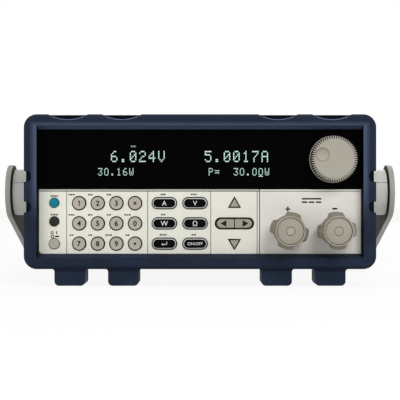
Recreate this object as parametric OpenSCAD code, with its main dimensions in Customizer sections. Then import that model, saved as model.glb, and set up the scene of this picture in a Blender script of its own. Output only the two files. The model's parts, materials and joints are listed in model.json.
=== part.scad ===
// Bench DC electronic load: half-width case, rubber bumpers, swing handle, keypad and two input terminals.
// Millimetres. X runs to the right of the front panel, Y from front to back, Z up from the table.

/* [Case] */
// Width of the metal case
case_w = 214.5; // [211:0.5:240]
// Height of the metal case
case_h = 88.2; // [87:0.2:100]
// Depth of the case, from keypad face to rear panel face
case_d = 354.6; // [330:0.2:420]
// Corner radius of the case section
case_corner = 3; // [2:0.5:5]
// Thickness of the cover and chassis sheet
sheet_t = 1.2; // [0.8:0.1:1.6]
// Thickness of the rear panel
rear_t = 1.5; // [1:0.1:2.5]

/* [Bumpers] */
// Rubber outside each side of the case
bumper_side = 7.45; // [5:0.05:10]
// Rubber above and below the case
bumper_rise = 6.3; // [6:0.1:9]
// Length of a bumper along the case
bumper_depth = 34; // [30:0.5:38]
// Corner radius of a bumper
bumper_corner = 8.5; // [6:0.5:12]
// Bevel round the outer end of a bumper
bumper_bevel = 2; // [0.5:0.1:3]
// How far the panels lie behind the bumper ends
panel_recess = 7; // [6:0.1:10]
// Lip over the left and right panel edges
lip_x = 1.5; // [1:0.1:2]
// Lip over the top and bottom panel edges
lip_z = 3.2; // [2:0.1:3.6]
// Slope of the lip above and below the opening
lip_slope = 2.2; // [0.5:0.1:3]

/* [Feet] */
// Height of a foot below the bumper
foot_h = 11; // [10.5:0.5:16]
// Width of a foot
foot_w = 20; // [14:0.5:24]
// Length of a foot along the case
foot_len = 22; // [14:0.5:25]
// Distance of a foot from the bumper end
foot_back = 4; // [3:0.5:5]
// Radius of the lower foot corners
foot_round = 3; // [1:0.5:5]
// Offset of the inner feet from the middle
foot_inner_x = 50; // [40:0.5:54]
// Offset of the outer feet from the middle
foot_outer_x = 85; // [80:0.5:90]
// Depth of the stacking pockets above the feet
pocket_depth = 3.1; // [1.5:0.1:4]
// Length of the stacking pockets along the case
pocket_len = 9; // [6:0.5:25]
// Radius of the dents in the bumper sides
dent_r = 3.5; // [2:0.1:5]
// Depth of the grooves that run from the dents
dent_groove = 1.3; // [0.6:0.1:2]

/* [Handle] */
// Distance of the handle pivot behind the front bumper end
pivot_back = 60; // [56:1:75]
// Radius of the hubs that hold the arms off the case
hub_r = 15.9; // [12:0.1:18]
// Gap between case side and arm
arm_stand = 22.6; // [15:0.1:28]
// Thickness of an arm
arm_t = 3.8; // [3.2:0.1:6]
// Radius of the round end of an arm
disc_r = 19; // [17:0.5:24]
// Distance from the pivot to the end centre of an arm
arm_reach = 130; // [128:1:136]
// Thickness of the grip
grip_t = 11; // [9:0.5:11.5]
// Width of the grip along the arms
grip_w = 14; // [12:0.5:15]
// Gap between the case and the grip folded under it
grip_gap = 2; // [1:0.1:2.5]
// Radius of the pivot screws
pivot_r = 4; // [3:0.25:5]

/* [Panel] */
// Height of the keypad plate edge above the panel middle
split_up = 1.6; // [0:0.1:4]
// Thickness of the keypad plate and of the terminal panel
face_t = 2.5; // [2:0.1:4]
// Thickness of the panel moulding behind them
base_t = 2.5; // [1.5:0.1:4]
// Thickness of the display window
window_t = 1.5; // [1:0.1:1.9]
// Gap between keypad plate and terminal panel
split_gap = 0.5; // [0.4:0.1:1]
// Width and depth of the dividing grooves
groove = 0.4; // [0.2:0.1:0.8]

/* [Keypad] */
// Diameter of a number key
key_d = 8.8; // [7:0.1:9.4]
// Gap round every key
key_gap = 0.35; // [0.3:0.05:0.6]
// How far the keys stand out of the plate
key_proud = 1.2; // [0.6:0.1:2]
// Stroke of a key
key_travel = 0.8; // [0.5:0.1:1.2]
// Thickness of the rim that keeps a key behind the plate
rim_t = 1; // [0.6:0.1:1.5]
// Width of that rim
rim_w = 0.9; // [0.6:0.1:1]
// Distance of the first number column from the left edge of the plate
number_x = 26.6; // [25:0.1:27]
// Distance between number columns
column_pitch = 12.2; // [12:0.1:12.4]
// Distance of the first key row below the plate edge
row_drop = 9.1; // [8.5:0.1:9.5]
// Distance between key rows
row_pitch = 13.25; // [12:0.05:13.5]
// Distance from the last number column to the first oval column
oval_x = 19.2; // [18:0.1:20]
// Distance between oval columns
oval_pitch = 20.1; // [19.5:0.1:20.5]
// Width of an oval key
oval_w = 16.1; // [12:0.1:16.5]
// Height of an oval key
oval_h = 7.3; // [5:0.1:8]
// Distance from the last oval column to the arrow keys
arrow_x = 25.8; // [25.4:0.1:26.4]
// Width of the left and right arrow pair
rocker_w = 25.2; // [20:0.1:25.6]
// Height of the left and right arrow pair
rocker_h = 7.2; // [5:0.1:8]
// Base of an up or down arrow key
arrow_w = 7.6; // [6:0.1:9]
// Height of an up or down arrow key
arrow_h = 6.6; // [5:0.1:7]
// Distance of the arrow keys from the right edge of the plate
split_x = 16.2; // [14:0.1:17]
// Distance of the up and down keys from the pair between them
arrow_rise = 12.7; // [12.2:0.1:13]
// Distance of the small keys from the left edge of the plate
small_x = 10.3; // [9:0.1:11]
// Distance of the first small key below the plate edge
small_drop = 8.8; // [8:0.1:10]
// Diameter of the small keys
small_d = 6; // [4:0.1:7]
// Distance between the small keys
small_pitch = 12.2; // [11:0.1:12.6]
// Diameter of the mains power button
power_d = 6.6; // [5:0.1:7.5]
// Stroke of the mains power button
power_travel = 2.5; // [1.5:0.1:3]

/* [Display] */
// Width of the display tube
tube_w = 124; // [100:1:130]
// Height of the display tube
tube_h = 26; // [20:0.5:28]
// Distance of the tube's middle from the left edge
tube_x = 96.1; // [90:0.1:98]
// Height of the tube's middle above the plate edge
tube_up = 17.4; // [15:0.1:19]

/* [Rotary knob] */
// Diameter of the rotary knob
knob_d = 31; // [24:0.5:33]
// Height of the rotary knob
knob_h = 11.4; // [9:0.1:14]
// Diameter of the knob's face
knob_face_d = 28; // [22:0.5:29]
// Thickness of the skirt round the knob's foot
skirt_t = 1.8; // [1:0.1:3]
// Gap between knob and window
knob_gap = 0.8; // [0.4:0.1:1.5]
// Distance of the knob axis from the right edge
knob_x = 18.8; // [17.5:0.1:21]
// Height of the knob axis above the panel middle
knob_up = 21.2; // [19:0.1:22]
// Diameter of the finger dimple
dimple_d = 9.6; // [7:0.1:10]
// Depth of the finger dimple
dimple_depth = 1.5; // [0.8:0.1:2]
// Distance of the finger dimple from the knob axis
dimple_x = 7.7; // [5:0.1:8]
// Radius of the encoder shaft
shaft_r = 3; // [2.5:0.25:3.5]

/* [Terminals] */
// Height of the terminals in front of the panel
post_h = 24; // [21:0.5:28]
// Distance between the terminal axes
post_pitch = 30.7; // [29:0.1:31]
// Distance of the right terminal axis from the right edge
post_x = 17.5; // [16.5:0.1:18]
// Distance of the terminal axes below the plate edge
post_drop = 26.8; // [26:0.1:28]
// Radius over the lobes of a thumb nut
lobe_r = 12.4; // [11:0.1:13]
// Radius in the valleys of a thumb nut
valley_r = 9.5; // [9.4:0.1:10]
// Radius of the round nose of a thumb nut
nose_r = 9.1; // [7:0.1:9.2]
// Radius of the terminal studs
stud_r = 3; // [2.5:0.25:3.5]
// Height of the collars on the terminal panel
collar_h = 4; // [3:0.1:6]
// Thickness of the pressure washers
washer_t = 1.6; // [1:0.1:2.5]

/* [Rear connectors] */
// Height of the upper and lower connector rows from the panel middle
ports_down = 20; // [16:0.5:24]
// Distance of the mains inlet from the left edge
inlet_x = 22; // [20:0.5:24]
// Distance from the mains inlet to the serial port
serial_x = 46; // [44:0.5:48]
// Distance from the serial port to the USB port
usb_x = 34; // [32:0.5:36]
// Width of the mains inlet
inlet_w = 27; // [26:0.1:28]
// Height of the mains inlet
inlet_h = 20; // [19:0.1:21]
// Width of the socket in the mains inlet
socket_w = 24; // [22:0.1:25]
// Height of the socket in the mains inlet
socket_h = 16; // [15:0.1:17]
// Distance between the jackscrews of the serial port
jack_pitch = 24.99; // [24.5:0.01:25.5]
// Radius of the threaded hole in a jackscrew
jack_hole_r = 1.4; // [1.2:0.05:1.6]
// Side of the USB port
usb_w = 12; // [11:0.1:13]
// Width of the remote sense terminals
sense_w = 42; // [30:0.5:44]
// Height of the remote sense terminals
sense_h = 12; // [10:0.5:14]

/* [Inside] */
// Side of the square fan
fan_size = 80; // [70:1:82]
// Depth of the fan
fan_t = 25; // [20:1:38]
// Number of fan blades
blades = 7; // [5:1:9]
// Number of heatsink fins
fins = 9; // [6:1:11]
// Length of the heatsink
heatsink_len = 110; // [80:1:130]
// Height of the board posts
board_post = 8; // [5:0.5:12]
// Number of vent slots in each side
vents = 14; // [8:1:18]

/* [Output] */
// Piece to draw, or all of them

/* [Hidden] */
$fn = 64;
// radial clearance of a shaft in its bore
run_fit = 0.05;
// clearance of a screw in its hole
screw_fit = 0.2;
// clearance between pieces that rest on each other
seat = 0.1;
eps = 0.01;

grey = [0.84, 0.84, 0.80];
navy = [0.16, 0.20, 0.30];
black = [0.03, 0.03, 0.04];
steel = [0.72, 0.72, 0.74];
stone = [0.66, 0.64, 0.58];
green = [0.10, 0.35, 0.20];

// Radius of a ball or roll that leaves a hollow of the given width and depth
function cap_radius(width, depth) = (width * width / 4 + depth * depth) / (2 * depth);

// Places along the depth, the object centred on Y = 0
y_panel = (max(post_h, panel_recess) - case_d - panel_recess) / 2;
y_front = y_panel - panel_recess;
y_rear = y_panel + case_d;
y_end = y_rear + panel_recess;
y_base = y_panel + face_t;
y_inner = y_base + base_t;
y_rim = y_inner + seat;
y_mat = y_rim + rim_t + key_travel + 2 * seat;
mat_t = 1.2;
y_board = y_mat + mat_t;
board_t = 1.6;
y_board_back = y_board + board_t;
y_pivot = y_front + pivot_back;
y_window = y_base - window_t;
y_wall = y_rear - rear_t;
y_fan = y_wall - fan_t;

// Heights and widths
bumper_w = case_w + 2 * bumper_side;
bumper_h = case_h + 2 * bumper_rise;
z_mid = foot_h + bumper_h / 2;
z_case = z_mid - case_h / 2;
z_floor = z_case + sheet_t;
z_ceiling = z_case + case_h - sheet_t;
view_w = case_w - 2 * lip_x;
view_h = case_h - 2 * lip_z;
x_left = -view_w / 2;
x_right = view_w / 2;
z_low = z_mid - view_h / 2;
side_x = case_w / 2;
pocket_room = 4;
dent_z = 10;
dent_len = 3;
dimple_turn = 20.6;
x_arm = side_x + arm_stand;
x_outer = x_arm + arm_t;
arm_tip_r = grip_t / 2 + 1;
stow_angle = asin((case_h / 2 + grip_gap + grip_t / 2) / (arm_reach - grip_w + grip_t));
pivot_head_r = 2 * pivot_r;
pivot_head_room = 0.3;
pivot_head_t = 2;

// Panel places: the named distances are for this visible width and height and follow the real ones
layout_w = 211.5;
layout_h = 81.8;
spread_x = view_w / layout_w;
spread_z = view_h / layout_h;
divide_drop = 1.3;
frame_gap = 0.3;
z_split = z_mid + split_up * spread_z;
z_divide = z_split - divide_drop;
columns = 4;
oval_columns = 2;
x_last = x_left + (number_x + (columns - 1) * column_pitch) * spread_x;
x_arrow = x_last + (oval_x + oval_pitch + arrow_x) * spread_x;
x_split = x_arrow + split_x * spread_x;
x_terminal = x_split + split_gap;
x_small = x_left + small_x * spread_x;
z_power = z_split - (row_drop + 2 * row_pitch) * spread_z;
z_rocker = z_split - (row_drop + row_pitch) * spread_z;
rocker_gap = 0.5;
z_mat = z_low + 2;
z_mat_top = z_split - 2;
function number_at(i) = [
    x_left + (number_x + (i % columns) * column_pitch) * spread_x,
    z_split - (row_drop + floor(i / columns) * row_pitch) * spread_z
];
function oval_at(i) = [
    x_last + (oval_x + (i % oval_columns) * oval_pitch) * spread_x,
    z_split - (row_drop + floor(i / oval_columns) * row_pitch) * spread_z
];
function arrow_at(up) = [x_arrow, z_rocker + up * arrow_rise * spread_z];
function small_at(i) = [x_small, z_split - (small_drop + i * small_pitch) * spread_z];
power_at = [x_small, z_power];
power_rim_r = power_d / 2 + rim_w;
power_room = 0.4;
stem_r = 2;
stem_len = 6;

// Display, knob and terminal places
x_knob = x_right - knob_x * spread_x;
z_knob = z_mid + knob_up * spread_z;
bushing_wall = 0.6;
bushing_r = shaft_r + bushing_wall;
encoder_w = 14;
encoder_t = 6;
shaft_in = 7;
x_tube = x_left + tube_x * spread_x;
z_tube = z_split + tube_up * spread_z;
board_edge = 3;
boss_r = 2;
x_board = x_left + board_edge;
x_board_end = x_tube + tube_w / 2 + board_edge;
z_board = z_low - board_edge / 2;
z_board_top = z_mid + view_h / 2 - board_edge / 2;
z_post = z_split - post_drop * spread_z;
function x_post(i) = x_right - (post_x + (1 - i) * post_pitch) * spread_x;
collar_rim = 0.4;
collar_r = valley_r + collar_rim;
y_collar = y_panel - collar_h;
y_washer = y_collar - seat - washer_t;
y_nut = y_washer - seat;
y_nose = y_panel - post_h;
nose_wall = 4;
y_stud = y_nose + nose_wall;
nut_r = 2 * stud_r;
stud_tail = 20;

// Rear places
screw_r = 1.9;
head_r = 3.6;
head_t = 2.2;
fan_edge = 10;
fan_w = fan_size * spread_z;
x_fan = side_x - sheet_t - fan_edge - fan_w / 2;
fan_hole = fan_w * 0.44688;
duct_wall = 2;
duct_r = fan_w / 2 - duct_wall;
hub_fan_r = fan_w / 5;
axle_r = 1.5;
guard_t = 1.4;
x_inlet = x_left + inlet_x * spread_x;
z_ports = z_mid - ports_down * spread_z;
x_serial = x_inlet + serial_x * spread_x;
x_usb = x_serial + usb_x * spread_x;
z_sense = z_mid + ports_down * spread_z;
shell_w = 16.8;
shell_h = 8.4;
shell_draft = 1.2;
jack_len = 5.2;
jack_r = 2.9;
ways = 6;
flange_h = 14;
flange_start = 40;
z_screw = z_case + flange_h / 2;
function y_screw(i) = y_panel + case_d * (0.27 + 0.56 * i);
board_gap = 10;
board_len = 146;
x_main = -side_x + board_gap;
x_main_end = x_fan - fan_w / 2 - board_gap;
y_main_end = y_fan - board_gap / 2;
y_main = y_main_end - board_len;
z_main = z_floor + board_post;
post_in = 6;
board_post_r = 3;
sink_wall = 8;
sink_gap = 6;
sink_w = fan_w - 8;
sink_h = z_ceiling - z_floor - sink_gap;
x_sink = x_fan - sink_w / 2;
y_sink = y_fan - sink_gap - heatsink_len;
chip_t = 5;
chip_w = 16;
chip_h = 20;

number_keys = [
    "key_1", "key_2", "key_3", "key_escape",
    "key_4", "key_5", "key_6", "key_0",
    "key_7", "key_8", "key_9", "key_point"
];
oval_keys = [
    "key_current", "key_voltage", "key_power",
    "key_resistance", "key_enter", "key_on_off"
];

// Helpers: flat outlines are drawn in X and Z, then given a depth along Y

module slab(y0, y1) {
    translate([0, y1, 0])
        rotate([90, 0, 0])
            linear_extrude(y1 - y0)
                children();
}

module rod(at, r, y0, y1) {
    translate([at[0], y1, at[1]])
        rotate([90, 0, 0])
            cylinder(h = y1 - y0, r = r);
}

module plate_x(x0, x1) {
    translate([x0, 0, 0])
        rotate([90, 0, 90])
            linear_extrude(x1 - x0)
                children();
}

module box(x0, x1, y0, y1, z0, z1) {
    translate([x0, y0, z0])
        cube([x1 - x0, y1 - y0, z1 - z0]);
}

module rounded(w, h, r) {
    square([w - 2 * r, h], center = true);
    square([w, h - 2 * r], center = true);
    for (x = [-1, 1], y = [-1, 1])
        translate([x * (w / 2 - r), y * (h / 2 - r)])
            circle(r);
}

module pill(w, h) {
    square([w - h, h], center = true);
    for (x = [-1, 1])
        translate([x * (w - h) / 2, 0])
            circle(h / 2);
}

// Key outlines, each grown all round by g

module number_outline(g) {
    circle(key_d / 2 + g);
}

module oval_outline(g) {
    pill(oval_w + 2 * g, oval_h + 2 * g);
}

module small_outline(g) {
    circle(small_d / 2 + g);
}

module rocker_outline(g) {
    pill(rocker_w + 2 * g, rocker_h + 2 * g);
}

module rocker_half(side, g) {
    intersection() {
        rocker_outline(g);
        translate([side * (rocker_w + rocker_gap) / 2, 0])
            square([rocker_w, 2 * rocker_h], center = true);
    }
}

module arrow_outline(up, g) {
    slant = sqrt(arrow_w * arrow_w / 4 + arrow_h * arrow_h);
    inner_r = arrow_w * arrow_h / (arrow_w + 2 * slant);
    k = (inner_r + g) / inner_r;
    polygon([
        [-k * arrow_w / 2, -up * k * inner_r],
        [k * arrow_w / 2, -up * k * inner_r],
        [0, up * k * (arrow_h - inner_r)]
    ]);
}

module at(p) {
    translate([p[0], p[1]])
        children();
}

module key_openings() {
    for (i = [0:11])
        at(number_at(i))
            number_outline(key_gap);
    for (i = [0:5])
        at(oval_at(i))
            oval_outline(key_gap);
    for (up = [-1, 1])
        at(arrow_at(up))
            arrow_outline(up, key_gap);
    at(arrow_at(0))
        rocker_outline(key_gap);
    for (i = [0, 1])
        at(small_at(i))
            small_outline(key_gap);
    at(power_at)
        circle(power_d / 2 + key_gap);
}

// Cap through the panel with a rim behind it: children are the cap and rim outlines
module key(p) {
    slab(y_panel - key_proud, y_rim)
        at(p)
            children(0);
    slab(y_rim, y_rim + rim_t)
        at(p)
            children(1);
}

module number_key(i) {
    color(i == 3 ? stone : grey)
        key(number_at(i)) {
            number_outline(0);
            number_outline(rim_w);
        }
}

module oval_key(i) {
    color(black)
        key(oval_at(i)) {
            oval_outline(0);
            oval_outline(rim_w);
        }
}

module arrow_key(up) {
    color(grey)
        key(arrow_at(up)) {
            arrow_outline(up, 0);
            arrow_outline(up, rim_w);
        }
}

module rocker_key(side) {
    color(grey)
        key(arrow_at(0)) {
            rocker_half(side, 0);
            rocker_half(side, rim_w);
        }
}

module small_key(i) {
    color(i == 0 ? [0.04, 0.54, 0.63] : [0.22, 0.22, 0.22])
        key(small_at(i)) {
            small_outline(0);
            small_outline(rim_w);
        }
}

module power_button() {
    color(stone) {
        key(power_at) {
            circle(power_d / 2);
            circle(power_rim_r);
        }
        rod(power_at, stem_r, y_rim, y_board_back + stem_len);
    }
}

// Enclosure

module case_outline(inset) {
    translate([0, z_mid])
        rounded(case_w - 2 * inset, case_h - 2 * inset, case_corner - min(inset, case_corner - 0.5));
}

module top_cover() {
    vent_w = 3;
    vent_pitch = 2 * vent_w;
    vent_low = 4;
    vent_high = 32;
    vent_end = 40;
    y_vent = y_wall - vent_end - vents * vent_pitch;
    color(grey)
        difference() {
            slab(y_inner, y_rear)
                difference() {
                    case_outline(0);
                    case_outline(sheet_t);
                    translate([-case_w / 2, z_case - eps])
                        square([case_w, sheet_t + 2]);
                }
            for (i = [1:vents])
                translate([0, y_vent + i * vent_pitch, z_mid])
                    box(-case_w, case_w, 0, vent_w, vent_low, vent_high);
            translate([-case_w, y_pivot, z_mid])
                rotate([0, 90, 0])
                    cylinder(h = 2 * case_w, r = pivot_r + run_fit);
            for (i = [0, 1])
                translate([-case_w, y_screw(i), z_screw])
                    rotate([0, 90, 0])
                        cylinder(h = 2 * case_w, r = screw_r + screw_fit);
        }
}

module bottom_chassis() {
    x_in = side_x - sheet_t - seat;
    x_standoff = [x_main + post_in, x_main_end - post_in];
    y_standoff = [y_main + post_in, y_main_end - post_in];
    color(steel)
        difference() {
            union() {
                box(-x_in, x_in, y_inner, y_wall, z_case, z_floor);
                for (s = [-1, 1])
                    translate([s * (x_in - sheet_t / 2), 0, z_case])
                        box(-sheet_t / 2, sheet_t / 2, y_inner + flange_start, y_wall, 0, flange_h);
                for (x = x_standoff, y = y_standoff)
                    translate([x, y, z_case])
                        cylinder(h = sheet_t + board_post, r = board_post_r);
            }
            for (i = [0, 1])
                translate([-case_w, y_screw(i), z_screw])
                    rotate([0, 90, 0])
                        cylinder(h = 2 * case_w, r = screw_r + screw_fit);
        }
}

module rear_panel() {
    x_in = side_x - sheet_t - seat;
    color(grey)
        slab(y_wall, y_rear)
            difference() {
                translate([-x_in, z_case])
                    square([2 * x_in, case_h - sheet_t - seat]);
                translate([x_fan, z_mid])
                    circle(duct_r);
                for (x = [-1, 1], z = [-1, 1])
                    translate([x_fan + x * fan_hole, z_mid + z * fan_hole])
                        circle(screw_r + screw_fit);
                translate([x_inlet, z_ports])
                    square([inlet_w + 2 * seat, inlet_h + 2 * seat], center = true);
                translate([x_serial, z_ports])
                    square([shell_w + 2 * seat, shell_h + 2 * seat], center = true);
                for (x = [-1, 1])
                    translate([x_serial + x * jack_pitch / 2, z_ports])
                        circle(jack_r + seat);
                translate([x_usb, z_ports])
                    square([usb_w + 2 * seat, usb_w + 2 * seat], center = true);
                translate([x_serial, z_sense])
                    square([sense_w + 2 * seat, sense_h + 2 * seat], center = true);
            }
}

module plate_outline() {
    corner = 2.5;
    x0 = x_left + frame_gap;
    z0 = z_low + frame_gap;
    translate([x0 + corner, z0])
        square([x_split - x0 - corner, z_split - z0]);
    translate([x0, z0 + corner])
        square([corner + eps, z_split - z0 - corner]);
    translate([x0 + corner, z0 + corner])
        circle(corner);
}

// Groove across both panels below the window
module divide_groove(x0, x1) {
    box(x0, x1, y_panel - 1, y_panel + groove, z_divide - groove / 2, z_divide + groove / 2);
}

module front_panel() {
    oval_line = 1.3;
    arrow_line = 2.6;
    edge_line = 1.3;
    x_boss = [x_board + boss_r, x_split - 2 * boss_r];
    z_boss = [z_board + boss_r, z_board_top - boss_r];
    color(grey)
        difference() {
            union() {
                slab(y_panel, y_base)
                    plate_outline();
                slab(y_base, y_inner)
                    difference() {
                        case_outline(0);
                        translate([x_tube, z_tube])
                            square([tube_w + 1, tube_h + 1], center = true);
                        translate([x_knob, z_knob])
                            circle(bushing_r + seat);
                        for (i = [0, 1])
                            translate([x_post(i), z_post])
                                circle(stud_r + seat);
                    }
                for (x = x_boss, z = z_boss)
                    rod([x, z], boss_r, y_base, y_board);
            }
            slab(y_panel - 1, y_inner + 1)
                key_openings();
            for (x = [
                (x_small + number_at(0)[0]) / 2,
                (x_last + oval_at(0)[0]) / 2 - oval_line,
                (oval_at(1)[0] + x_arrow) / 2 - arrow_line,
                x_split - edge_line
            ])
                box(x - groove / 2, x + groove / 2, y_panel - 1, y_panel + groove, z_low - 1, z_divide);
            divide_groove(-case_w, x_split + 1);
        }
}

module display_window() {
    color(black)
        difference() {
            box(x_left - 1, x_right + 1, y_window, y_base, z_split + seat, z_mid + view_h / 2 + 1);
            rod([x_knob, z_knob], bushing_r + seat, y_window - 1, y_base + 1);
        }
}

module terminal_panel() {
    color(grey)
        difference() {
            union() {
                box(x_terminal, x_right - frame_gap, y_panel, y_base, z_low + frame_gap, z_split - seat);
                for (i = [0, 1])
                    rod([x_post(i), z_post], collar_r, y_collar, y_base);
            }
            for (i = [0, 1])
                rod([x_post(i), z_post], stud_r + run_fit, y_collar - 1, y_base + 1);
            divide_groove(x_split, case_w);
        }
}

// Bumpers: the rear one is the front one turned round

module bumper_outline(inset) {
    translate([0, z_mid])
        rounded(bumper_w - 2 * inset, bumper_h - 2 * inset, bumper_corner - inset);
}

module foot_outline() {
    neck = 2;
    translate([-foot_w / 2, foot_round])
        square([foot_w, foot_h - foot_round + neck]);
    translate([-foot_w / 2 + foot_round, 0])
        square([foot_w - 2 * foot_round, foot_round + eps]);
    for (s = [-1, 1]) {
        translate([s * (foot_w / 2 - foot_round), foot_round])
            circle(foot_round);
        difference() {
            translate([s * (foot_w + neck) / 2, foot_h - neck / 2])
                square([neck, neck], center = true);
            translate([s * (foot_w / 2 + neck), foot_h - neck])
                circle(neck);
        }
    }
}

module bumper() {
    end = y_front + bumper_depth;
    pocket_r = cap_radius(foot_w + pocket_room, pocket_depth);
    z_pocket = z_mid + bumper_h / 2 - pocket_depth + pocket_r;
    foot_places = [-foot_outer_x, -foot_inner_x, foot_inner_x, foot_outer_x];
    difference() {
        union() {
            hull() {
                slab(y_front, y_front + eps)
                    bumper_outline(bumper_bevel);
                slab(y_front + bumper_bevel, end)
                    bumper_outline(0);
            }
            for (x = foot_places)
                translate([x, 0, 0])
                    slab(y_front + foot_back, y_front + foot_back + foot_len)
                        foot_outline();
        }
        slab(y_panel, end + 1)
            case_outline(-seat);
        hull() {
            slab(y_front - 1, y_front)
                translate([0, z_mid])
                    square([view_w + 1, view_h + 2 * lip_slope], center = true);
            slab(y_panel, y_panel + eps)
                translate([0, z_mid])
                    square([view_w, view_h], center = true);
        }
        for (x = foot_places)
            rod([x, z_pocket], pocket_r, y_front - 1, y_front + pocket_len);
        for (s = [-1, 1], t = [-1, 1]) {
            translate([s * bumper_w / 2, 0, z_mid + t * dent_z])
                box(-dent_groove, dent_groove, y_front - 1, end + 1, -dent_r, dent_r);
            rod([s * bumper_w / 2, z_mid + t * dent_z], dent_r, y_front - 1, y_front + dent_len);
        }
    }
}

module front_bumper() {
    color(navy)
        bumper();
}

module rear_bumper() {
    color(navy)
        translate([0, y_front + y_end, 0])
            rotate([0, 0, 180])
                bumper();
}

// Handle

module arm_outline() {
    a = acos((disc_r - arm_tip_r) / arm_reach);
    side = [cos(a), sin(a)];
    other = [cos(a), -sin(a)];
    tip = [arm_reach, 0];
    circle(disc_r);
    translate(tip)
        circle(arm_tip_r);
    polygon([disc_r * side, tip + arm_tip_r * side, tip + arm_tip_r * other, disc_r * other]);
}

module handle_bail() {
    color(stone)
        translate([0, y_pivot, z_mid])
            rotate([-stow_angle, 0, 0])
                difference() {
                    union() {
                        plate_x(x_arm, x_outer)
                            arm_outline();
                        plate_x(-x_outer, -x_arm)
                            arm_outline();
                        plate_x(-x_arm - 1, x_arm + 1)
                            translate([arm_reach - (grip_w - grip_t) / 2, 0])
                                pill(grip_w, grip_t);
                    }
                    rotate([0, 90, 0]) {
                        translate([0, 0, -x_outer - 1])
                            cylinder(h = 2 * x_outer + 2, r = pivot_r + run_fit);
                        for (z = [-x_outer - 1, x_outer - pivot_head_t])
                            translate([0, 0, z])
                                cylinder(h = pivot_head_t + 1, r = pivot_head_r + pivot_head_room);
                    }
                }
}

module each_side() {
    for (s = [0, 1])
        mirror([s, 0, 0])
            translate([0, y_pivot, z_mid])
                rotate([0, 90, 0])
                    children();
}

module handle_hubs() {
    arm_gap = 0.3;
    color(stone)
        each_side()
            difference() {
                translate([0, 0, side_x])
                    cylinder(h = arm_stand - arm_gap, r = hub_r);
                translate([0, 0, side_x - 1])
                    cylinder(h = arm_stand + 2, r = pivot_r + run_fit);
            }
}

module handle_pivots() {
    inner_nut = 5;
    tail = 1;
    x_nut = side_x - sheet_t - inner_nut;
    color(steel)
        each_side() {
            translate([0, 0, x_nut - tail])
                cylinder(h = x_outer - pivot_head_t + 2 * seat - x_nut + tail, r = pivot_r);
            translate([0, 0, x_outer - pivot_head_t + seat])
                cylinder(h = pivot_head_t - 2 * seat, r = pivot_head_r);
            difference() {
                translate([0, 0, x_nut])
                    cylinder(h = inner_nut, r = 1.9 * pivot_r, $fn = 6);
                translate([0, 0, x_nut - 1])
                    cylinder(h = inner_nut + 2, r = pivot_r + run_fit);
            }
        }
}

// Rotary knob and its encoder

module rotary_knob() {
    ledge = 0.5;
    y_foot = y_window - knob_gap;
    y_face = y_foot - knob_h;
    dimple_r = cap_radius(dimple_d, dimple_depth);
    color(stone)
        difference() {
            union() {
                rod([x_knob, z_knob], knob_d / 2, y_foot - skirt_t, y_foot);
                translate([x_knob, y_foot, z_knob])
                    rotate([90, 0, 0])
                        cylinder(h = knob_h, r1 = knob_d / 2 - ledge, r2 = knob_face_d / 2);
            }
            rod([x_knob, z_knob], shaft_r + run_fit, y_foot - shaft_in - seat, y_foot + 1);
            translate([x_knob, y_face + dimple_depth - dimple_r, z_knob])
                rotate([0, dimple_turn, 0])
                    translate([-dimple_x, 0, 0])
                        sphere(dimple_r);
        }
}

module encoder_body() {
    color(steel)
        difference() {
            union() {
                translate([x_knob, y_inner, z_knob])
                    box(-encoder_w / 2, encoder_w / 2, 0, encoder_t, -encoder_w / 2, encoder_w / 2);
                rod([x_knob, z_knob], bushing_r, y_window, y_inner + 1);
            }
            rod([x_knob, z_knob], shaft_r + run_fit, y_window - 1, y_inner + encoder_t - 1);
        }
}

module encoder_shaft() {
    color(steel)
        rod([x_knob, z_knob], shaft_r, y_window - knob_gap - shaft_in, y_inner + encoder_t - 2);
}

// Input terminals

module thumb_nut(i, turn) {
    lobes = 4;
    scallop_r = 8;
    skirt = 0.68 * (y_nut - y_nose);
    bevel = 1.2;
    color(stone)
        translate([x_post(i), 0, z_post])
            difference() {
                union() {
                    rod([0, 0], valley_r, y_nut - skirt - bevel, y_nut);
                    slab(y_nut - skirt, y_nut)
                        difference() {
                            circle(lobe_r);
                            for (k = [0:lobes - 1])
                                rotate(turn + (k + 0.5) * 360 / lobes)
                                    translate([valley_r + scallop_r, 0])
                                        circle(scallop_r);
                        }
                    rod([0, 0], nose_r, y_nose, y_nut);
                }
                rod([0, 0], stud_r + run_fit, y_stud - 0.5, y_nut + 1);
            }
}

module washer(i) {
    color(steel)
        difference() {
            rod([x_post(i), z_post], valley_r, y_washer, y_washer + washer_t);
            rod([x_post(i), z_post], stud_r + run_fit, y_washer - 1, y_washer + washer_t + 1);
        }
}

module terminal_studs() {
    nut_t = 5;
    color(steel)
        for (i = [0, 1])
            translate([x_post(i), 0, z_post]) {
                rod([0, 0], stud_r, y_stud, y_inner + stud_tail);
                translate([0, y_inner + nut_t, 0])
                    rotate([90, 0, 0])
                        cylinder(h = nut_t, r = nut_r, $fn = 6);
            }
}

// Behind the panel

module display_tube() {
    color(black)
        translate([x_tube, 0, z_tube])
            box(-tube_w / 2, tube_w / 2, y_base + seat, y_board, -tube_h / 2, tube_h / 2);
}

module keypad_mat() {
    color(stone)
        difference() {
            box(x_board + 2 * boss_r + 1, x_split - 4 * boss_r, y_mat, y_board, z_mat, z_mat_top);
            rod(power_at, power_rim_r + power_room, y_mat - 1, y_board + 1);
        }
}

module front_board() {
    color(green)
        difference() {
            union() {
                box(x_board, x_split, y_board, y_board_back, z_board, z_board_top);
                box(x_split - 1, x_board_end, y_board, y_board_back, z_split, z_board_top);
            }
            rod(power_at, power_rim_r + power_room, y_board - 1, y_board_back + 1);
        }
}

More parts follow.
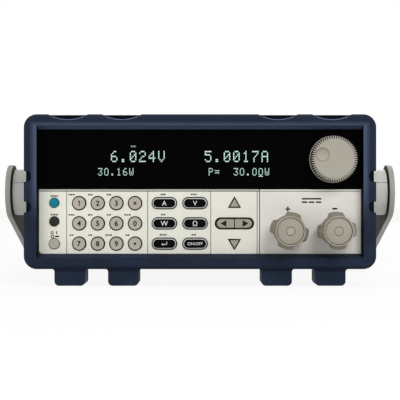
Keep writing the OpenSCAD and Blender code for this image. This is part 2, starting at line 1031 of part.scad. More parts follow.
module power_switch() {
    side = 14;
    wall = 1.5;
    stem_room = 0.3;
    y_back = y_board_back + stem_len + power_travel + 2 * wall;
    color(black)
        difference() {
            translate([x_small, 0, z_power])
                box(-side / 2, side / 2, y_board_back, y_back, -side / 2, side / 2);
            rod(power_at, stem_r + stem_room, y_board_back - 1, y_back - wall);
        }
}

module main_board() {
    capacitor_r = 9;
    capacitor_h = 30;
    relay_w = 60;
    relay_l = 35;
    relay_h = 12;
    color(green)
        union() {
            box(x_main, x_main_end, y_main, y_main_end, z_main, z_main + board_t);
            for (i = [1:3])
                translate([x_main + 2.4 * capacitor_r * i, y_main + 3 * capacitor_r, z_main])
                    cylinder(h = capacitor_h, r = capacitor_r);
            translate([x_main + post_in, y_main + board_len / 2, z_main])
                cube([relay_w, relay_l, relay_h]);
        }
}

module transformer() {
    core_w = 58;
    core_l = 40;
    core_h = 48;
    coil_w = 38;
    coil_l = 62;
    coil_h = 30;
    behind_panel = 80;
    color(steel)
        translate([x_main + board_gap + core_w / 2, y_inner + behind_panel, z_floor + core_h / 2]) {
            cube([core_w, core_l, core_h], center = true);
            cube([coil_w, coil_l, coil_h], center = true);
        }
}

module heatsink() {
    fin_t = 2;
    step = (sink_h - fin_t) / (fins - 1);
    color(steel)
        union() {
            box(x_sink, x_sink + sink_wall, y_sink, y_sink + heatsink_len, z_floor, z_floor + sink_h);
            for (i = [0:fins - 1])
                translate([0, 0, z_floor + i * step])
                    box(x_sink + 1, x_sink + sink_w, y_sink, y_sink + heatsink_len, 0, fin_t);
        }
}

module power_transistors() {
    count = 4;
    pitch = heatsink_len / count;
    color(black)
        for (i = [0:count - 1])
            translate([x_sink - chip_t, y_sink + (i + 0.5) * pitch - chip_w / 2, z_floor + sink_h / 2])
                cube([chip_t, chip_w, chip_h]);
}

module fan_frame() {
    strut_t = 2.5;
    tube_r = 4;
    tube_len = 12;
    color(black)
        translate([x_fan, 0, z_mid])
            difference() {
                union() {
                    difference() {
                        box(-fan_w / 2, fan_w / 2, y_fan, y_wall, -fan_w / 2, fan_w / 2);
                        rod([0, 0], duct_r, y_fan - 1, y_wall + 1);
                    }
                    intersection() {
                        rod([0, 0], duct_r + 0.5, y_wall - strut_t, y_wall);
                        union() {
                            for (turn = [45, 135])
                                rotate([0, turn, 0])
                                    box(-fan_w, fan_w, y_wall - strut_t, y_wall, -2, 2);
                            rod([0, 0], hub_fan_r, y_wall - strut_t, y_wall);
                        }
                    }
                    rod([0, 0], tube_r, y_wall - tube_len, y_wall - 1);
                }
                rod([0, 0], axle_r + run_fit, y_wall - tube_len - 1, y_wall - 0.8);
                for (x = [-1, 1], z = [-1, 1])
                    rod([x * fan_hole, z * fan_hole], screw_r + screw_fit, y_fan - 1, y_wall + 1);
            }
}

module fan_rotor() {
    y0 = y_fan + 2;
    y1 = y_wall - 4;
    pitch = 38;
    blade_t = 1.5;
    tip_room = 1.5;
    color(black)
        translate([x_fan, 0, z_mid]) {
            difference() {
                union() {
                    rod([0, 0], hub_fan_r, y0, y1);
                    intersection() {
                        rod([0, 0], duct_r - tip_room, y0, y1);
                        for (i = [0:blades - 1])
                            rotate([0, i * 360 / blades, 0])
                                translate([0, (y0 + y1) / 2, 0])
                                    rotate([pitch, 0, 0])
                                        translate([hub_fan_r - 2, -fan_t, -blade_t / 2])
                                            cube([fan_w, 2 * fan_t, blade_t]);
                    }
                }
                rod([0, 0], hub_fan_r - 4, y0 + 3, y1 + 1);
            }
            rod([0, 0], axle_r, y0 + 1, y_wall - 1);
        }
}

module fan_guard() {
    rings = 4;
    ring_w = 2;
    spoke_w = 3;
    color(steel)
        slab(y_rear, y_rear + guard_t)
            translate([x_fan, z_mid])
                difference() {
                    union() {
                        for (i = [1:rings])
                            difference() {
                                circle(duct_r * i / rings);
                                circle(duct_r * i / rings - ring_w);
                            }
                        for (turn = [45, 135])
                            rotate(turn)
                                square([2 * sqrt(2) * fan_hole, spoke_w], center = true);
                        for (x = [-1, 1], z = [-1, 1])
                            translate([x * fan_hole, z * fan_hole])
                                circle(head_r);
                    }
                    for (x = [-1, 1], z = [-1, 1])
                        translate([x * fan_hole, z * fan_hole])
                            circle(screw_r + screw_fit);
                }
}

module mains_inlet() {
    frame_t = 2.2;
    frame_w = inlet_w + 4;
    frame_h = inlet_h + 4;
    body = 24;
    depth = 17;
    pin_w = 2;
    pin_h = 4;
    pin_len = 11;
    pin_pitch = 7;
    pin_offset = 2;
    y_mouth = y_rear + frame_t;
    color(black)
        translate([x_inlet, 0, z_ports])
            union() {
                difference() {
                    union() {
                        box(-inlet_w / 2, inlet_w / 2, y_rear - body, y_rear + 1, -inlet_h / 2, inlet_h / 2);
                        box(-frame_w / 2, frame_w / 2, y_rear, y_mouth, -frame_h / 2, frame_h / 2);
                    }
                    box(-socket_w / 2, socket_w / 2, y_mouth - depth, y_mouth + 1, -socket_h / 2, socket_h / 2);
                }
                for (i = [-1:1])
                    translate([i * pin_pitch, y_mouth - depth - 1, pin_offset * (1 - 2 * abs(i))])
                        box(-pin_w / 2, pin_w / 2, 0, pin_len, -pin_h / 2, pin_h / 2);
            }
}

module shell_outline(inset) {
    z = shell_h / 2 - inset;
    top = shell_w / 2 - inset;
    low = top - shell_draft;
    polygon([[-top, z], [top, z], [low, -z], [-low, -z]]);
}

module serial_port() {
    shell_t = 0.9;
    shell_len = 5;
    shell_depth = 3.5;
    plate_w = jack_pitch + 2 * jack_r;
    plate_h = 12.4;
    plate_t = 2;
    body_w = 18;
    body_h = 10.4;
    body_len = 11;
    thread_len = 6;
    y_end_shell = y_rear + shell_len;
    color(steel)
        translate([x_serial, 0, z_ports])
            difference() {
                union() {
                    box(-plate_w / 2, plate_w / 2, y_wall - plate_t, y_wall, -plate_h / 2, plate_h / 2);
                    box(-body_w / 2, body_w / 2, y_wall - body_len, y_wall - 1, -body_h / 2, body_h / 2);
                    slab(y_wall - 1, y_end_shell)
                        shell_outline(0);
                    for (x = [-1, 1])
                        rod([x * jack_pitch / 2, 0], jack_r, y_wall - 1, y_rear + jack_len);
                }
                slab(y_end_shell - shell_depth, y_end_shell + 1)
                    shell_outline(shell_t);
                for (x = [-1, 1])
                    translate([x * jack_pitch / 2, y_rear + jack_len, 0])
                        rod([0, 0], jack_hole_r, -thread_len, 1);
            }
}

module usb_port() {
    wall = 1.8;
    mouth = usb_w - 2 * wall;
    body_len = 14;
    depth = 8;
    tongue_w = 5.6;
    tongue_h = 3.2;
    color(steel)
        translate([x_usb, 0, z_ports])
            union() {
                difference() {
                    box(-usb_w / 2, usb_w / 2, y_wall - body_len, y_rear + 1, -usb_w / 2, usb_w / 2);
                    box(-mouth / 2, mouth / 2, y_rear - depth, y_rear + 2, -mouth / 2, mouth / 2);
                }
                box(-tongue_w / 2, tongue_w / 2, y_rear - depth - 1, y_rear, -tongue_h / 2, tongue_h / 2);
            }
}

module sense_terminals() {
    step = sense_w / ways;
    proud = 5;
    body_len = 8;
    wire_r = 1.7;
    wire_down = 2.6;
    clamp_r = 2;
    clamp_up = 3;
    y_face = y_rear + proud;
    color([0.10, 0.35, 0.18])
        translate([x_serial, 0, z_sense])
            difference() {
                box(-sense_w / 2, sense_w / 2, y_wall - body_len, y_face, -sense_h / 2, sense_h / 2);
                for (i = [0:ways - 1])
                    translate([(i + 0.5) * step - sense_w / 2, 0, 0]) {
                        rod([0, -wire_down], wire_r, y_face - body_len, y_face + 1);
                        rod([0, clamp_up], clamp_r, y_face - 1, y_face + 1);
                    }
            }
}

// Pan head on z = 0 with the shank below it
module screw(len) {
    cylinder(h = head_t, r = head_r);
    translate([0, 0, -len])
        cylinder(h = len + 1, r = screw_r);
}

module case_screws() {
    case_screw = 6;
    fan_screw = 14;
    color(steel) {
        for (s = [0, 1], i = [0, 1])
            mirror([s, 0, 0])
                translate([side_x, y_screw(i), z_screw])
                    rotate([0, 90, 0])
                        screw(case_screw);
        for (x = [-1, 1], z = [-1, 1])
            translate([x_fan + x * fan_hole, y_rear + guard_t, z_mid + z * fan_hole])
                rotate([-90, 0, 0])
                    screw(fan_screw);
    }
}

for (i = [0:11])
    number_key(i);
for (i = [0:5])
    oval_key(i);
arrow_key(1);  // key_up
arrow_key(-1);  // key_down
rocker_key(-1);  // key_left
rocker_key(1);  // key_right
small_key(0);  // key_shift
small_key(1);  // key_local
power_button();
bottom_chassis();
top_cover();
rear_panel();
front_panel();
display_window();
terminal_panel();
front_bumper();
rear_bumper();
handle_bail();
handle_hubs();
handle_pivots();
rotary_knob();
encoder_body();
encoder_shaft();
thumb_nut(0, -15);  // thumb_nut_positive
thumb_nut(1, 4);  // thumb_nut_negative
washer(0);  // washer_positive
washer(1);  // washer_negative
terminal_studs();
display_tube();
keypad_mat();
front_board();
power_switch();
main_board();
transformer();
heatsink();
power_transistors();
fan_frame();
fan_rotor();
fan_guard();
mains_inlet();
serial_port();
usb_port();
sense_terminals();
case_screws();
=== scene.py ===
"""Looks of the bench DC load: rubber bumpers, swing handle, keypad, readout, knob and terminals."""
import json
import math

import bpy
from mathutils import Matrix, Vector

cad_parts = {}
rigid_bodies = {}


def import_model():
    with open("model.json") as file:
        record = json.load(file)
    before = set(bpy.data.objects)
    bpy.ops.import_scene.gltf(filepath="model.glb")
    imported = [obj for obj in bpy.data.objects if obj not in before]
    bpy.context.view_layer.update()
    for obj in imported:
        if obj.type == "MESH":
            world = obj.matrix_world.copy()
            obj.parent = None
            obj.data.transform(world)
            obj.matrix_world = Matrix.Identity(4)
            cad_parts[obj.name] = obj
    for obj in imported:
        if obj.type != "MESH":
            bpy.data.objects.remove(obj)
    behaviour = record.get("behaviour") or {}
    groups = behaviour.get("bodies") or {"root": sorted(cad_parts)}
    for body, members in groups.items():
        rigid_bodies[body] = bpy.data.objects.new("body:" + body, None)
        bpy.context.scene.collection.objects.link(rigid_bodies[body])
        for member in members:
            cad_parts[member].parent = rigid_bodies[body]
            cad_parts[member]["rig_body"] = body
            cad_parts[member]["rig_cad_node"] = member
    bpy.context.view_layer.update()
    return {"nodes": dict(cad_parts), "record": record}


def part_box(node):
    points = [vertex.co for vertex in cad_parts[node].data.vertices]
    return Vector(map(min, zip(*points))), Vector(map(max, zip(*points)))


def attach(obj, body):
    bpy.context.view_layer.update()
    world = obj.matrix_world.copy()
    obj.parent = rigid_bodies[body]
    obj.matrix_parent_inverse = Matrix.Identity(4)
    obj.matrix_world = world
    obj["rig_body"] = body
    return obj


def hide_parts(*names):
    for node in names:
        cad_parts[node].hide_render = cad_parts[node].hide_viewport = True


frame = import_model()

MM = 0.001
WELD = 0.000002
record = frame["record"]
body_of = {n: b for b, members in record["behaviour"]["bodies"].items() for n in members}


# Handling pieces

def object_mode():
    bpy.ops.object.mode_set(mode="OBJECT")


def grab(*pieces):
    if bpy.context.mode != "OBJECT":
        object_mode()
    bpy.ops.object.select_all(action="DESELECT")
    for piece in pieces:
        piece.select_set(True)
    bpy.context.view_layer.objects.active = pieces[0]


def edit_mode(piece, kind, test):
    """Edit mode with only those faces or points selected that pass the test."""
    grab(piece)
    mesh = piece.data
    for part in (mesh.vertices, mesh.edges, mesh.polygons):
        part.foreach_set("select", [False] * len(part))
    for item in getattr(mesh, kind):
        item.select = test(item)
    bpy.context.tool_settings.mesh_select_mode = (kind == "vertices", False, kind == "polygons")
    bpy.ops.object.mode_set(mode="EDIT")


def edit_faces(piece, test=None):
    """The test takes a face's middle in millimetres and its normal; without one all are selected."""
    edit_mode(piece, "polygons", lambda face: test is None or test(face.center / MM, face.normal))


def edit_points(piece, test):
    """The test takes a point's place in millimetres."""
    edit_mode(piece, "vertices", lambda point: test(point.co / MM))


def apply_modifier(piece, kind, **settings):
    grab(piece)
    modifier = piece.modifiers.new(kind.lower(), kind)
    for name, value in settings.items():
        setattr(modifier, name, value)
    bpy.ops.object.modifier_apply(modifier=modifier.name)


def round_edges(piece, width, steps=2, angle=30, clamp=True):
    apply_modifier(
        piece, "BEVEL", width=width * MM, segments=steps, limit_method="ANGLE",
        angle_limit=math.radians(angle), use_clamp_overlap=clamp,
    )


def smooth(piece, angle=35):
    grab(piece)
    bpy.ops.object.shade_smooth_by_angle(angle=math.radians(angle))
    apply_modifier(piece, "WEIGHTED_NORMAL", keep_sharp=True)


def settle(piece):
    grab(piece)
    bpy.ops.object.transform_apply(location=True, rotation=True, scale=True)


def copy_of(piece):
    grab(piece)
    bpy.ops.object.duplicate(linked=False)
    return bpy.context.active_object


def copy_at(piece, x, y, z):
    """A copy of a piece modelled at the origin, moved to a place in millimetres."""
    twin = copy_of(piece)
    twin.location = (x * MM, y * MM, z * MM)
    settle(twin)
    return twin


def join(name, pieces):
    grab(*pieces)
    bpy.ops.object.join()
    whole = bpy.context.active_object
    whole.name = name
    return whole


def delete(*pieces):
    grab(*pieces)
    bpy.ops.object.delete()


def cut(piece, tool):
    apply_modifier(piece, "BOOLEAN", operation="DIFFERENCE", object=tool, solver="EXACT")
    delete(tool)


def outward(piece):
    edit_faces(piece)
    bpy.ops.mesh.remove_doubles(threshold=WELD)
    bpy.ops.mesh.normals_make_consistent(inside=False)
    object_mode()


def dress(piece, *materials):
    piece.data.materials.clear()
    for material in materials:
        piece.data.materials.append(material)


def paint_faces(piece, index, test):
    """Gives a material to the faces whose middle, in millimetres, and normal pass the test."""
    for face in piece.data.polygons:
        if test(face.center / MM, face.normal):
            face.material_index = index


def split_wide_faces(piece):
    """Faces with many corners become triangles, so that openings stay open in any viewer."""
    edit_faces(piece, lambda c, n: False)
    bpy.ops.mesh.select_face_by_sides(number=4, type="GREATER")
    bpy.ops.mesh.quads_convert_to_tris(quad_method="BEAUTY", ngon_method="BEAUTY")
    object_mode()


def belongs(piece, name, body):
    piece.name = name
    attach(piece, body)


def stands_for(piece, node):
    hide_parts(node)
    belongs(piece, node + "_shell", body_of[node])


def trimmed_copy(node):
    """A copy of a node's mesh with its loose triangles merged into plain faces."""
    piece = copy_of(frame["nodes"][node])
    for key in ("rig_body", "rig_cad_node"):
        del piece[key]
    bpy.ops.object.parent_clear(type="CLEAR_KEEP_TRANSFORM")
    edit_faces(piece)
    bpy.ops.mesh.remove_doubles(threshold=WELD)
    bpy.ops.mesh.dissolve_limited(angle_limit=math.radians(0.6))
    object_mode()
    return piece


def softened(node, material, width, steps=2, angle=30, clamp=True):
    """Stands for a node with rounded edges."""
    piece = trimmed_copy(node)
    round_edges(piece, width, steps, angle, clamp)
    split_wide_faces(piece)
    smooth(piece)
    dress(piece, material)
    stands_for(piece, node)
    return piece


def span(node):
    """Lowest and highest corner of a node in millimetres."""
    low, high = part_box(node)
    return [c / MM for c in low], [c / MM for c in high]


def middle(node):
    low, high = span(node)
    return [(a + b) / 2 for a, b in zip(low, high)]


def disc(radius, y0, y1, x=0.0, z=0.0, points=64):
    """A round bar along Y from y0 to y1."""
    bpy.ops.mesh.primitive_cylinder_add(
        vertices=points, radius=radius * MM, depth=(y1 - y0) * MM,
        location=(x * MM, (y0 + y1) / 2 * MM, z * MM), rotation=(math.pi / 2, 0, 0),
    )
    piece = bpy.context.active_object
    settle(piece)
    return piece


def block(x0, x1, y0, y1, z0, z1):
    bpy.ops.mesh.primitive_cube_add(
        size=1, location=((x0 + x1) / 2 * MM, (y0 + y1) / 2 * MM, (z0 + z1) / 2 * MM),
        scale=((x1 - x0) * MM, (y1 - y0) * MM, (z1 - z0) * MM),
    )
    piece = bpy.context.active_object
    settle(piece)
    return piece


# Places in millimetres, taken from the frame

Y_PANEL = span("front_panel")[0][1]
Y_WINDOW = span("display_window")[0][1]
Y_REAR = span("rear_panel")[1][1]
PANEL_Z = middle("front_panel")[2]
# Half the width and half the height of a bumper's mouth
MOUTH_X, MOUTH_Z = 106.4, 41.5


# Materials

def tint(red, green, blue):
    """A screen colour of 0 to 255 as the linear colour that the shader takes."""
    def linear(c):
        c /= 255
        return c / 12.92 if c <= 0.04045 else ((c + 0.055) / 1.055) ** 2.4
    return (linear(red), linear(green), linear(blue), 1.0)


def group(name, inputs, outputs):
    tree = bpy.data.node_groups.new(name, "ShaderNodeTree")
    for label, kind, value in inputs:
        socket = tree.interface.new_socket(label, in_out="INPUT", socket_type="NodeSocket" + kind)
        socket.default_value = value
    for label, kind in outputs:
        tree.interface.new_socket(label, in_out="OUTPUT", socket_type="NodeSocket" + kind)
    return tree, tree.nodes.new("NodeGroupInput"), tree.nodes.new("NodeGroupOutput")


def node_in(tree, kind, **values):
    node = tree.nodes.new("ShaderNode" + kind)
    for name, value in values.items():
        if name in node.inputs:
            node.inputs[name].default_value = value
        else:
            setattr(node, name, value)
    return node


def textured(tree, kind, **values):
    """A texture node laid on the object's own coordinates."""
    node = node_in(tree, kind, **values)
    tree.links.new(node_in(tree, "TexCoord").outputs["Object"], node.inputs["Vector"])
    return node


def feed(tree, node, places, values):
    """Links or sets a node's inputs; each value is a socket or a plain value."""
    for place, value in zip(places, values):
        if isinstance(value, bpy.types.NodeSocket):
            tree.links.new(value, node.inputs[place])
        else:
            node.inputs[place].default_value = value


def calc(tree, operation, first, second):
    node = node_in(tree, "Math", operation=operation)
    feed(tree, node, (0, 1), (first, second))
    return node.outputs[0]


def blend(tree, factor, first, second):
    node = node_in(tree, "Mix", data_type="RGBA")
    feed(tree, node, (0, 6, 7), (factor, first, second))
    return node.outputs[2]


def remap(tree, value, low, high, out_low, out_high):
    node = node_in(
        tree, "MapRange", **{"From Min": low, "From Max": high, "To Min": out_low, "To Max": out_high}
    )
    tree.links.new(value, node.inputs["Value"])
    return node.outputs["Result"]


def build_moulded_grain():
    """Fine pebbled texture of a mould, with softer waviness under it."""
    tree, entry, leave = group(
        "moulded_grain", [("Scale", "Float", 900.0), ("Wave", "Float", 40.0)],
        [("Height", "Float"), ("Fleck", "Float")],
    )
    fine = textured(tree, "TexNoise", Detail=3.0, Roughness=0.6)
    pebble = textured(tree, "TexVoronoi")
    slow = textured(tree, "TexNoise", Detail=2.0)
    for node, scale in ((fine, "Scale"), (pebble, "Scale"), (slow, "Wave")):
        tree.links.new(entry.outputs[scale], node.inputs["Scale"])
    bumps = calc(tree, "MULTIPLY", pebble.outputs["Distance"], 0.6)
    tree.links.new(calc(tree, "ADD", fine.outputs[0], bumps), leave.inputs["Height"])
    tree.links.new(remap(tree, slow.outputs[0], 0.3, 0.7, 0.0, 1.0), leave.inputs["Fleck"])
    return tree


def build_drifting_tone():
    """A colour that drifts slowly into a second one, with faint specks."""
    tree, entry, leave = group(
        "drifting_tone",
        [
            ("Colour", "Color", (0.5, 0.5, 0.5, 1)), ("Shade", "Color", (0.4, 0.4, 0.4, 1)),
            ("Scale", "Float", 18.0),
        ],
        [("Colour", "Color")],
    )
    slow = textured(tree, "TexNoise", Detail=4.0, Roughness=0.55)
    speck = textured(tree, "TexNoise", Scale=1400.0, Detail=1.0)
    tree.links.new(entry.outputs["Scale"], slow.inputs["Scale"])
    drift = remap(tree, slow.outputs[0], 0.35, 0.65, 0.0, 0.75)
    dots = remap(tree, speck.outputs[0], 0.62, 0.75, 0.0, 0.5)
    mix = blend(tree, calc(tree, "MAXIMUM", drift, dots), entry.outputs["Colour"], entry.outputs["Shade"])
    tree.links.new(mix, leave.inputs["Colour"])
    return tree


def build_rubbed_edges():
    """Where hands and tables rub: outer edges, broken up by noise."""
    tree, entry, leave = group("rubbed_edges", [("Amount", "Float", 0.5)], [("Mask", "Float")])
    patch = textured(tree, "TexNoise", Scale=60.0, Detail=5.0)
    edge = node_in(tree, "NewGeometry").outputs["Pointiness"]
    ridge = remap(tree, edge, 0.52, 0.62, 0.0, 1.0)
    broken = calc(tree, "MULTIPLY", ridge, remap(tree, patch.outputs[0], 0.4, 0.65, 0.15, 1.0))
    tree.links.new(calc(tree, "MULTIPLY", broken, entry.outputs["Amount"]), leave.inputs["Mask"])
    return tree


def build_brushed_lines():
    """Drawn or rolled metal: fine lines along X."""
    tree, entry, leave = group(
        "brushed_lines", [("Scale", "Float", 500.0)], [("Height", "Float"), ("Streak", "Float")]
    )
    stretch = textured(tree, "Mapping", Scale=(0.03, 1.0, 1.0))
    lines = node_in(tree, "TexNoise", Detail=4.0, Roughness=0.7)
    tree.links.new(stretch.outputs[0], lines.inputs["Vector"])
    tree.links.new(entry.outputs["Scale"], lines.inputs["Scale"])
    tree.links.new(lines.outputs[0], leave.inputs["Height"])
    tree.links.new(remap(tree, lines.outputs[0], 0.3, 0.7, 0.0, 1.0), leave.inputs["Streak"])
    return tree


def build_painted_lip_highlight():
    """Painted highlight where a bumper's face meets its mouth, in the upper half of the bumper."""
    z_dull, z_bright = (PANEL_Z - 20) * MM, (PANEL_Z + 5) * MM
    tree, entry, leave = group("painted_lip_highlight", [("Reach", "Float", 4.4 * MM)], [("Mask", "Float")])
    place = textured(tree, "SeparateXYZ")
    above = calc(tree, "SUBTRACT", place.outputs["Z"], (PANEL_Z + MOUTH_Z) * MM)
    beside = calc(tree, "SUBTRACT", calc(tree, "ABSOLUTE", place.outputs["X"], 0.0), MOUTH_X * MM)
    away = calc(tree, "DIVIDE", calc(tree, "MAXIMUM", above, beside), entry.outputs["Reach"])
    near = remap(tree, away, 0.0, 1.0, 1.0, 0.0)
    upper = remap(tree, place.outputs["Z"], z_dull, z_bright, 0.0, 1.0)
    tree.links.new(calc(tree, "MULTIPLY", near, upper), leave.inputs["Mask"])
    return tree


moulded_grain = build_moulded_grain()
painted_lip_highlight = build_painted_lip_highlight()
drifting_tone = build_drifting_tone()
rubbed_edges = build_rubbed_edges()
brushed_lines = build_brushed_lines()


def use_group(tree, which, **values):
    node = tree.nodes.new("ShaderNodeGroup")
    node.node_tree = which
    for name, value in values.items():
        node.inputs[name].default_value = value
    return node


def start_material(name):
    material = bpy.data.materials.new(name)
    material.use_nodes = True
    tree = material.node_tree
    return material, tree, tree.nodes["Principled BSDF"]


def set_bump(tree, shader, height, depth):
    bump = node_in(tree, "Bump", Strength=1.0, Distance=depth * MM)
    tree.links.new(height, bump.inputs["Height"])
    tree.links.new(bump.outputs[0], shader.inputs["Normal"])


def moulded(name, colour, shade, rough, grain, depth, worn=None, amount=0.5, gloss=0.5, lip_highlight=None):
    """Moulded plastic, rubber or paint, with a range of roughness.

    Worn is the colour of rubbed edges; the last argument is the colour of a painted highlight along a
    bumper's mouth.
    """
    material, tree, shader = start_material(name)
    tone = use_group(tree, drifting_tone, Colour=tint(*colour), Shade=tint(*shade)).outputs["Colour"]
    texture = use_group(tree, moulded_grain, Scale=grain, Wave=grain / 20)
    if worn:
        mask = use_group(tree, rubbed_edges, Amount=amount).outputs["Mask"]
        tone = blend(tree, mask, tone, tint(*worn))
    if lip_highlight:
        tone = blend(tree, use_group(tree, painted_lip_highlight).outputs["Mask"], tone, tint(*lip_highlight))
    tree.links.new(tone, shader.inputs["Base Color"])
    tree.links.new(remap(tree, texture.outputs["Fleck"], 0.0, 1.0, *rough), shader.inputs["Roughness"])
    set_bump(tree, shader, texture.outputs["Height"], depth)
    shader.inputs["Specular IOR Level"].default_value = gloss
    return material


def metal(name, colour, shade, rough, scale, depth):
    material, tree, shader = start_material(name)
    lines = use_group(tree, brushed_lines, Scale=scale)
    streak = lines.outputs["Streak"]
    tree.links.new(blend(tree, streak, tint(*colour), tint(*shade)), shader.inputs["Base Color"])
    tree.links.new(remap(tree, streak, 0.0, 1.0, *rough), shader.inputs["Roughness"])
    set_bump(tree, shader, lines.outputs["Height"], depth)
    shader.inputs["Metallic"].default_value = 1.0
    return material


def glowing(name, colour, strength):
    """Lit phosphor: brighter in the middle of a dot than between the grid wires."""
    material, tree, shader = start_material(name)
    mesh = textured(tree, "TexNoise", Scale=2600.0, Detail=1.0)
    between = remap(tree, mesh.outputs[0], 0.3, 0.7, 0.0, 0.35)
    glow = blend(tree, between, tint(*colour), tint(*[c * 0.8 for c in colour]))
    tree.links.new(glow, shader.inputs["Emission Color"])
    shader.inputs["Emission Strength"].default_value = strength
    shader.inputs["Base Color"].default_value = tint(20, 26, 24)
    shader.inputs["Roughness"].default_value = 0.4
    return material


# The lip colour is a painted highlight along the upper mouth of each bumper.
bumper_rubber = moulded(
    "bumper_rubber", (26, 35, 51), (22, 30, 44), (0.5, 0.64), 700, 0.05,
    worn=(46, 58, 82), amount=0.35, gloss=0.07, lip_highlight=(68, 80, 104),
)
# Darker painted shade for the floors of the dents in the bumpers' sides.
dent_floor_shade = moulded("dent_floor_shade", (16, 22, 36), (13, 18, 30), (0.6, 0.7), 700, 0.05, gloss=0.03)
# Painted shade for the stacking pockets, the dents and the walls of the bumpers' mouths.
recess_painted_shade = moulded("recess_painted_shade", (7, 9, 15), (5, 7, 12), (0.6, 0.7), 700, 0.05, gloss=0.03)
# Painted highlight for the step round each stacking pocket.
pocket_rim_highlight = moulded("pocket_rim_highlight", (98, 112, 140), (88, 102, 128), (0.45, 0.55), 700, 0.03, gloss=0.1)
# Painted shade for the gaps round keys, the walls of panel openings, grooves and the rings on the nuts.
gap_painted_shade = moulded("gap_painted_shade", (24, 22, 19), (19, 17, 15), (0.6, 0.7), 900, 0.01, gloss=0.05)
panel_plastic = moulded(
    "panel_plastic", (212, 211, 200), (205, 204, 192), (0.5, 0.62), 1100, 0.02,
    worn=(222, 222, 214), amount=0.4,
)
terminal_plastic = moulded("terminal_plastic", (211, 208, 202), (203, 200, 193), (0.5, 0.62), 1100, 0.02)
# Painted shade for the strip along the top of the keypad plate.
panel_strip_painted_shade = moulded("panel_strip_painted_shade", (166, 166, 158), (158, 158, 150), (0.5, 0.62), 1100, 0.02, gloss=0.3)
key_plastic = moulded(
    "key_plastic", (164, 158, 147), (156, 149, 138), (0.42, 0.55), 1500, 0.012,
    worn=(188, 182, 172), gloss=0.35,
)
arrow_plastic = moulded(
    "arrow_plastic", (150, 144, 132), (142, 135, 123), (0.42, 0.55), 1500, 0.012,
    worn=(170, 164, 152), gloss=0.3,
)
teal_plastic = moulded(
    "teal_plastic", (10, 114, 134), (6, 102, 122), (0.4, 0.52), 1500, 0.012,
    worn=(44, 146, 164), gloss=0.1,
)
dark_plastic = moulded(
    "dark_plastic", (40, 40, 38), (33, 33, 31), (0.45, 0.56), 1500, 0.012,
    worn=(66, 66, 64), gloss=0.1,
)
button_plastic = moulded(
    "button_plastic", (158, 155, 143), (150, 147, 134), (0.42, 0.55), 1500, 0.012,
    worn=(178, 176, 165), gloss=0.35,
)
rim_paint = moulded(
    "silver_rim_paint", (186, 187, 186), (172, 173, 172), (0.34, 0.46), 2200, 0.008,
    worn=(196, 197, 196), amount=0.6, gloss=0.4,
)
key_black = moulded("key_black", (3, 3, 3), (5, 5, 5), (0.4, 0.5), 1800, 0.006, gloss=0.04)
knob_plastic = moulded(
    "knob_plastic", (152, 148, 136), (144, 139, 127), (0.42, 0.54), 1300, 0.014,
    worn=(184, 180, 169), gloss=0.35,
)
# Painted shade for the knob between its teeth and on its skirt.
knob_painted_shade = moulded("knob_painted_shade", (40, 38, 33), (34, 32, 27), (0.5, 0.6), 1300, 0.014, gloss=0.15)
nut_plastic = moulded(
    "nut_plastic", (150, 144, 131), (141, 135, 122), (0.44, 0.56), 1300, 0.016,
    worn=(172, 166, 153), gloss=0.35,
)
# Painted shade for the lobes of the nuts and round the edge of the knob's dimple.
lobe_and_dimple_painted_shade = moulded(
    "lobe_and_dimple_painted_shade", (128, 122, 108), (120, 114, 100), (0.46, 0.58), 1300, 0.016,
    worn=(150, 144, 130), gloss=0.3,
)
handle_plastic = moulded(
    "handle_plastic", (156, 156, 150), (146, 146, 140), (0.46, 0.6), 800, 0.03,
    worn=(178, 178, 172), gloss=0.35,
)
# Painted shade for the inner faces of the handle's arms and the outer ends of the hubs.
handle_painted_shade = moulded("handle_painted_shade", (66, 64, 52), (58, 56, 45), (0.5, 0.62), 800, 0.03, gloss=0.2)
hub_plastic = moulded(
    "hub_plastic", (198, 197, 191), (190, 189, 183), (0.46, 0.6), 800, 0.03,
    worn=(208, 207, 202), amount=0.4, gloss=0.35,
)
case_paint = moulded(
    "case_paint", (206, 206, 197), (199, 199, 189), (0.46, 0.6), 620, 0.04,
    worn=(170, 170, 166), amount=0.35,
)
window_black = moulded("window_black", (2, 2, 3), (3, 3, 4), (0.3, 0.36), 400, 0.0015, gloss=0.012)
tube_glass = moulded("tube_glass", (26, 30, 30), (20, 24, 24), (0.1, 0.16), 300, 0.002)
board_green = moulded("board_green", (24, 88, 54), (18, 74, 44), (0.36, 0.5), 900, 0.02)
mat_rubber = moulded("mat_rubber", (44, 42, 39), (38, 36, 33), (0.7, 0.8), 900, 0.03)
block_green = moulded(
    "block_green", (30, 108, 62), (24, 94, 52), (0.4, 0.5), 1200, 0.012,
    worn=(56, 132, 86),
)
black_plastic = moulded(
    "black_plastic", (22, 22, 23), (28, 28, 29), (0.42, 0.56), 1000, 0.02,
    worn=(58, 58, 58),
)
ink_dark = moulded("ink_dark", (20, 18, 18), (27, 25, 24), (0.5, 0.6), 2000, 0.003, gloss=0.1)
ink_light = moulded("ink_light", (214, 216, 214), (200, 202, 200), (0.5, 0.6), 2000, 0.003)
ink_grey = moulded("ink_grey", (58, 55, 53), (68, 65, 62), (0.5, 0.6), 2000, 0.003, gloss=0.1)
plated_steel = metal("plated_steel", (188, 190, 194), (164, 166, 170), (0.26, 0.42), 700, 0.006)
sheet_steel = metal("sheet_steel", (176, 178, 180), (158, 160, 163), (0.36, 0.5), 420, 0.01)
sink_metal = metal("sink_metal", (196, 198, 202), (176, 178, 182), (0.3, 0.45), 500, 0.01)
contact_brass = metal("contact_brass", (214, 188, 122), (196, 168, 100), (0.24, 0.38), 800, 0.006)
phosphor = glowing("phosphor", (206, 244, 231), 1.25)


# Case, bumpers and handle

